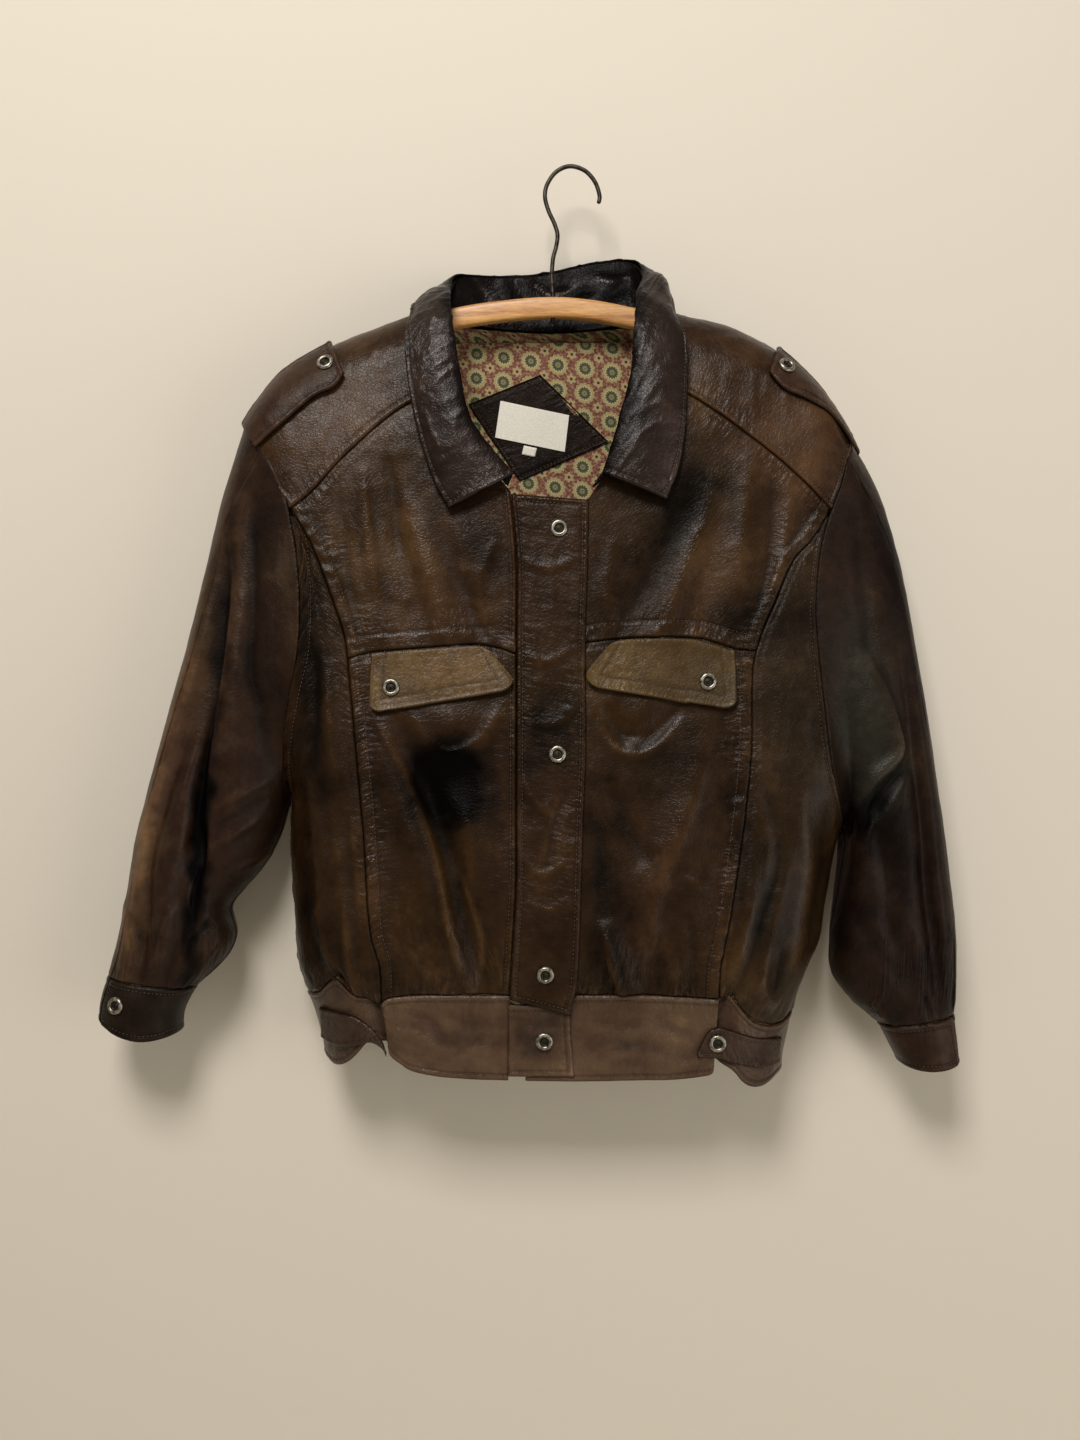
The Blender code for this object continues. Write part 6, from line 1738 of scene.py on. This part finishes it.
def hanger():
    start, end = hangerLook["top"][0][0], hangerLook["top"][-1][0]
    turns = np.arange(40) * 2 * math.pi / 40
    rings = []
    for x in np.linspace(start, end, 90):
        top = float(curve(hangerLook["top"], x))
        near = min(x - start, end - x)
        tall = hangerLook["tall"] * min(1.0, 0.55 + 0.03 * near)
        shrink = 1 - 0.12 * max(0.0, 1 - near / 3) ** 2
        halfTall, halfThick = tall / 2 * shrink, hangerLook["thick"] / 2 * shrink
        power = 4.5    # a squarish oval: flat sides with eased edges
        c, s = np.cos(turns), np.sin(turns)
        y = halfThick * np.sign(c) * np.abs(c) ** (2 / power)
        z = halfTall * np.sign(s) * np.abs(s) ** (2 / power)
        rings.append(stack(x, y, top - tall / 2 + z))
    tube("hanger_bar_look", rings, "lacquered beech", "hanger_bar")
    hook = hangerLook["hook"]
    curved = walk(hook[:-2], np.linspace(0, 1, 120))
    path = np.concatenate([curved, np.array(hook[-2:], float)])
    rings = []
    turns = np.arange(16) * 2 * math.pi / 16
    for k, (x, z) in enumerate(path):
        before, after = path[max(k - 1, 0)], path[min(k + 1, len(path) - 1)]
        run = (after - before) / np.linalg.norm(after - before)
        radius = hangerLook["wire"] * (1.0 if k > 2 else (0.45, 0.8, 0.95)[k])
        rings.append(stack(x - radius * np.cos(turns) * run[1], radius * np.sin(turns),
                z + radius * np.cos(turns) * run[0]))
    tube("hanger_hook_look", rings, "hook steel", "hanger_hook")


hanger()
print("stage: snaps and hanger made")

# topstitching: thread drawn 0.6 thick so that it shows, 2.5 long at 3.4 pitch
threadLook = {"pitch": 3.4, "long": 2.5, "thick": 0.6, "seed": 7}


def stitchTree():
    tree = bpy.data.node_groups.new("stitch row", "GeometryNodeTree")
    face = tree.interface
    face.new_socket(name="Geometry", in_out="INPUT", socket_type="NodeSocketGeometry")
    for label, key in (("Pitch", "pitch"), ("Stitch length", "long"), ("Thread", "thick")):
        socket = face.new_socket(name=label, in_out="INPUT", socket_type="NodeSocketFloat")
        socket.default_value = threadLook[key] / 1000
    face.new_socket(name="Seed", in_out="INPUT",
        socket_type="NodeSocketInt").default_value = threadLook["seed"]
    face.new_socket(name="Material", in_out="INPUT", socket_type="NodeSocketMaterial")
    face.new_socket(name="Geometry", in_out="OUTPUT", socket_type="NodeSocketGeometry")
    given = addNode(tree, "NodeGroupInput").outputs
    line = addNode(tree, "GeometryNodeMeshToCurve", {"Mesh": given["Geometry"]}).outputs[0]
    row = addNode(tree, "GeometryNodeResampleCurve", {"Curve": line, "Length": given["Pitch"]},
        mode="LENGTH").outputs[0]
    along = addNode(tree, "GeometryNodeInputTangent").outputs[0]
    turn = addNode(tree, "FunctionNodeAlignRotationToVector", {"Vector": along}, axis="X").outputs[0]
    bead = addNode(tree, "GeometryNodeMeshIcoSphere", {"Radius": 0.5, "Subdivisions": 1}).outputs["Mesh"]
    size = addNode(tree, "ShaderNodeCombineXYZ", {0: given["Stitch length"], 1: given["Thread"],
            2: given["Thread"]}).outputs[0]
    uneven = addNode(tree, "FunctionNodeRandomValue", {2: 0.85, 3: 1.1, "Seed": given["Seed"]},
        data_type="FLOAT").outputs[1]
    size = addNode(tree, "ShaderNodeVectorMath", {0: size, "Scale": uneven}, operation="SCALE").outputs[0]
    placed = addNode(tree, "GeometryNodeInstanceOnPoints", {"Points": row, "Instance": bead, "Rotation": turn,
            "Scale": size}).outputs[0]
    real = addNode(tree, "GeometryNodeRealizeInstances", {0: placed}).outputs[0]
    done = addNode(tree, "GeometryNodeSetMaterial", {"Geometry": real,
            "Material": given["Material"]}).outputs[0]
    addNode(tree, "NodeGroupOutput", {0: done})
    return tree


def sewStitches():
    tree = stitchTree()
    for thread, lines in stitchLines.items():
        points = np.concatenate(lines)
        edges, start = [], 0
        for line in lines:
            edges += [(start + k, start + k + 1) for k in range(len(line) - 1)]
            start += len(line)
        mesh = bpy.data.meshes.new("stitches_" + thread)
        mesh.from_pydata((points * 0.001).tolist(), edges, [])
        item = bpy.data.objects.new("stitches_" + thread, mesh)
        bpy.context.scene.collection.objects.link(item)
        modifier = item.modifiers.new("stitch row", "NODES")
        modifier.node_group = tree
        sockets = {s.name: s.identifier for s in tree.interface.items_tree if s.in_out == "INPUT"}
        modifier[sockets["Material"]] = finishes["sewing thread"]
        item.update_tag()
        found = item.evaluated_get(bpy.context.evaluated_depsgraph_get())
        sewn = bpy.data.meshes.new_from_object(found)
        item.modifiers.clear()
        item.data = sewn
        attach(item, "root")
        print("stitches", thread, len(sewn.polygons))


sewStitches()


# wall, floor, light and camera
stageLook = {"wall": "#d6cec1", "floor": "#d8d0bd", "wallY": 0.0465, "floorZ": -1.75}


def stagePlane(name, corners, colour, oneSided):
    tree, shader = newMaterial(name + " paint")
    tree.nodes.remove(shader)
    output = tree.nodes["Material Output"]
    paint = addNode(tree, "ShaderNodeBsdfDiffuse", {"Color": linear(colour)}).outputs[0]
    if oneSided:
        rays = addNode(tree, "ShaderNodeLightPath").outputs
        turned = addNode(tree, "ShaderNodeNewGeometry").outputs["Backfacing"]
        shown = addNode(tree, "ShaderNodeMath", {0: rays["Is Camera Ray"], 1: rays["Is Glossy Ray"]},
            operation="MAXIMUM").outputs[0]
        front = addNode(tree, "ShaderNodeMath", {0: 1.0, 1: turned}, operation="SUBTRACT").outputs[0]
        shown = addNode(tree, "ShaderNodeMath", {0: shown, 1: front}, operation="MULTIPLY").outputs[0]
        clear = addNode(tree, "ShaderNodeBsdfTransparent").outputs[0]
        paint = addNode(tree, "ShaderNodeMixShader", {0: shown, 1: clear, 2: paint}).outputs[0]
    tree.links.new(paint, output.inputs["Surface"])
    mesh = bpy.data.meshes.new(name)
    mesh.from_pydata(corners, [], [(0, 1, 2, 3)])
    mesh.materials.append(finishes[name + " paint"])
    item = bpy.data.objects.new(name, mesh)
    bpy.context.scene.collection.objects.link(item)


wallY, floorZ = stageLook["wallY"], stageLook["floorZ"]
stagePlane("wall", [(-2.5, wallY, floorZ), (2.5, wallY, floorZ), (2.5, wallY, 1.6), (-2.5, wallY, 1.6)],
    stageLook["wall"], True)
stagePlane("floor", [(-3, -3.5, floorZ), (3, -3.5, floorZ), (3, 3.5, floorZ), (-3, 3.5, floorZ)],
    stageLook["floor"], False)

lampLook = {"key": {"from": (-0.45, -1.9, 1.15), "size": 0.8, "watts": 53, "colour": (1.0, 0.97, 0.93)},
    "fill": {"from": (2.1, -1.6, -1.0), "size": 1.8, "watts": 20, "colour": (1.0, 0.98, 0.95)},
    "back": {"from": (0.3, 2.6, 1.2), "size": 2.2, "watts": 74, "colour": (1.0, 0.98, 0.95)}}
for lampName, lamp in lampLook.items():
    light = bpy.data.lights.new(lampName, "AREA")
    light.size = lamp["size"]
    light.energy = lamp["watts"]
    light.color = lamp["colour"]
    item = bpy.data.objects.new(lampName, light)
    item.location = lamp["from"]
    item.rotation_euler = (Vector((0, 0, -0.4)) - Vector(lamp["from"])).to_track_quat("-Z", "Y").to_euler()
    bpy.context.scene.collection.objects.link(item)

world = bpy.data.worlds.new("room")
world.use_nodes = True
world.node_tree.nodes.clear()
rays = addNode(world.node_tree, "ShaderNodeLightPath").outputs
air = addNode(world.node_tree, "ShaderNodeBackground", {"Color": linear("#e9e4d8"),
        "Strength": 0.28}).outputs[0]
sky = addNode(world.node_tree, "ShaderNodeBackground", {"Color": linear("#ddd5c1"),
        "Strength": 1.0}).outputs[0]
seen = addNode(world.node_tree, "ShaderNodeMixShader", {0: rays["Is Camera Ray"], 1: air, 2: sky}).outputs[0]
addNode(world.node_tree, "ShaderNodeOutputWorld", {"Surface": seen})
bpy.context.scene.world = world
bpy.context.scene.view_settings.view_transform = "Standard"

cameraData = bpy.data.cameras.new("camera")
cameraData.lens = 33.8
cameraData.sensor_width = 36.0
camera = bpy.data.objects.new("camera", cameraData)
camera.location = (-0.0264, -1.19, -0.4855)
camera.rotation_euler = (math.radians(90), 0, 0)
bpy.context.scene.collection.objects.link(camera)
bpy.context.scene.camera = camera

for cutName, wide, long, area in cuts:
    print("cut", cutName, wide, "mm x", long, "mm", area, "cm2")
print("stage: lights and camera set")
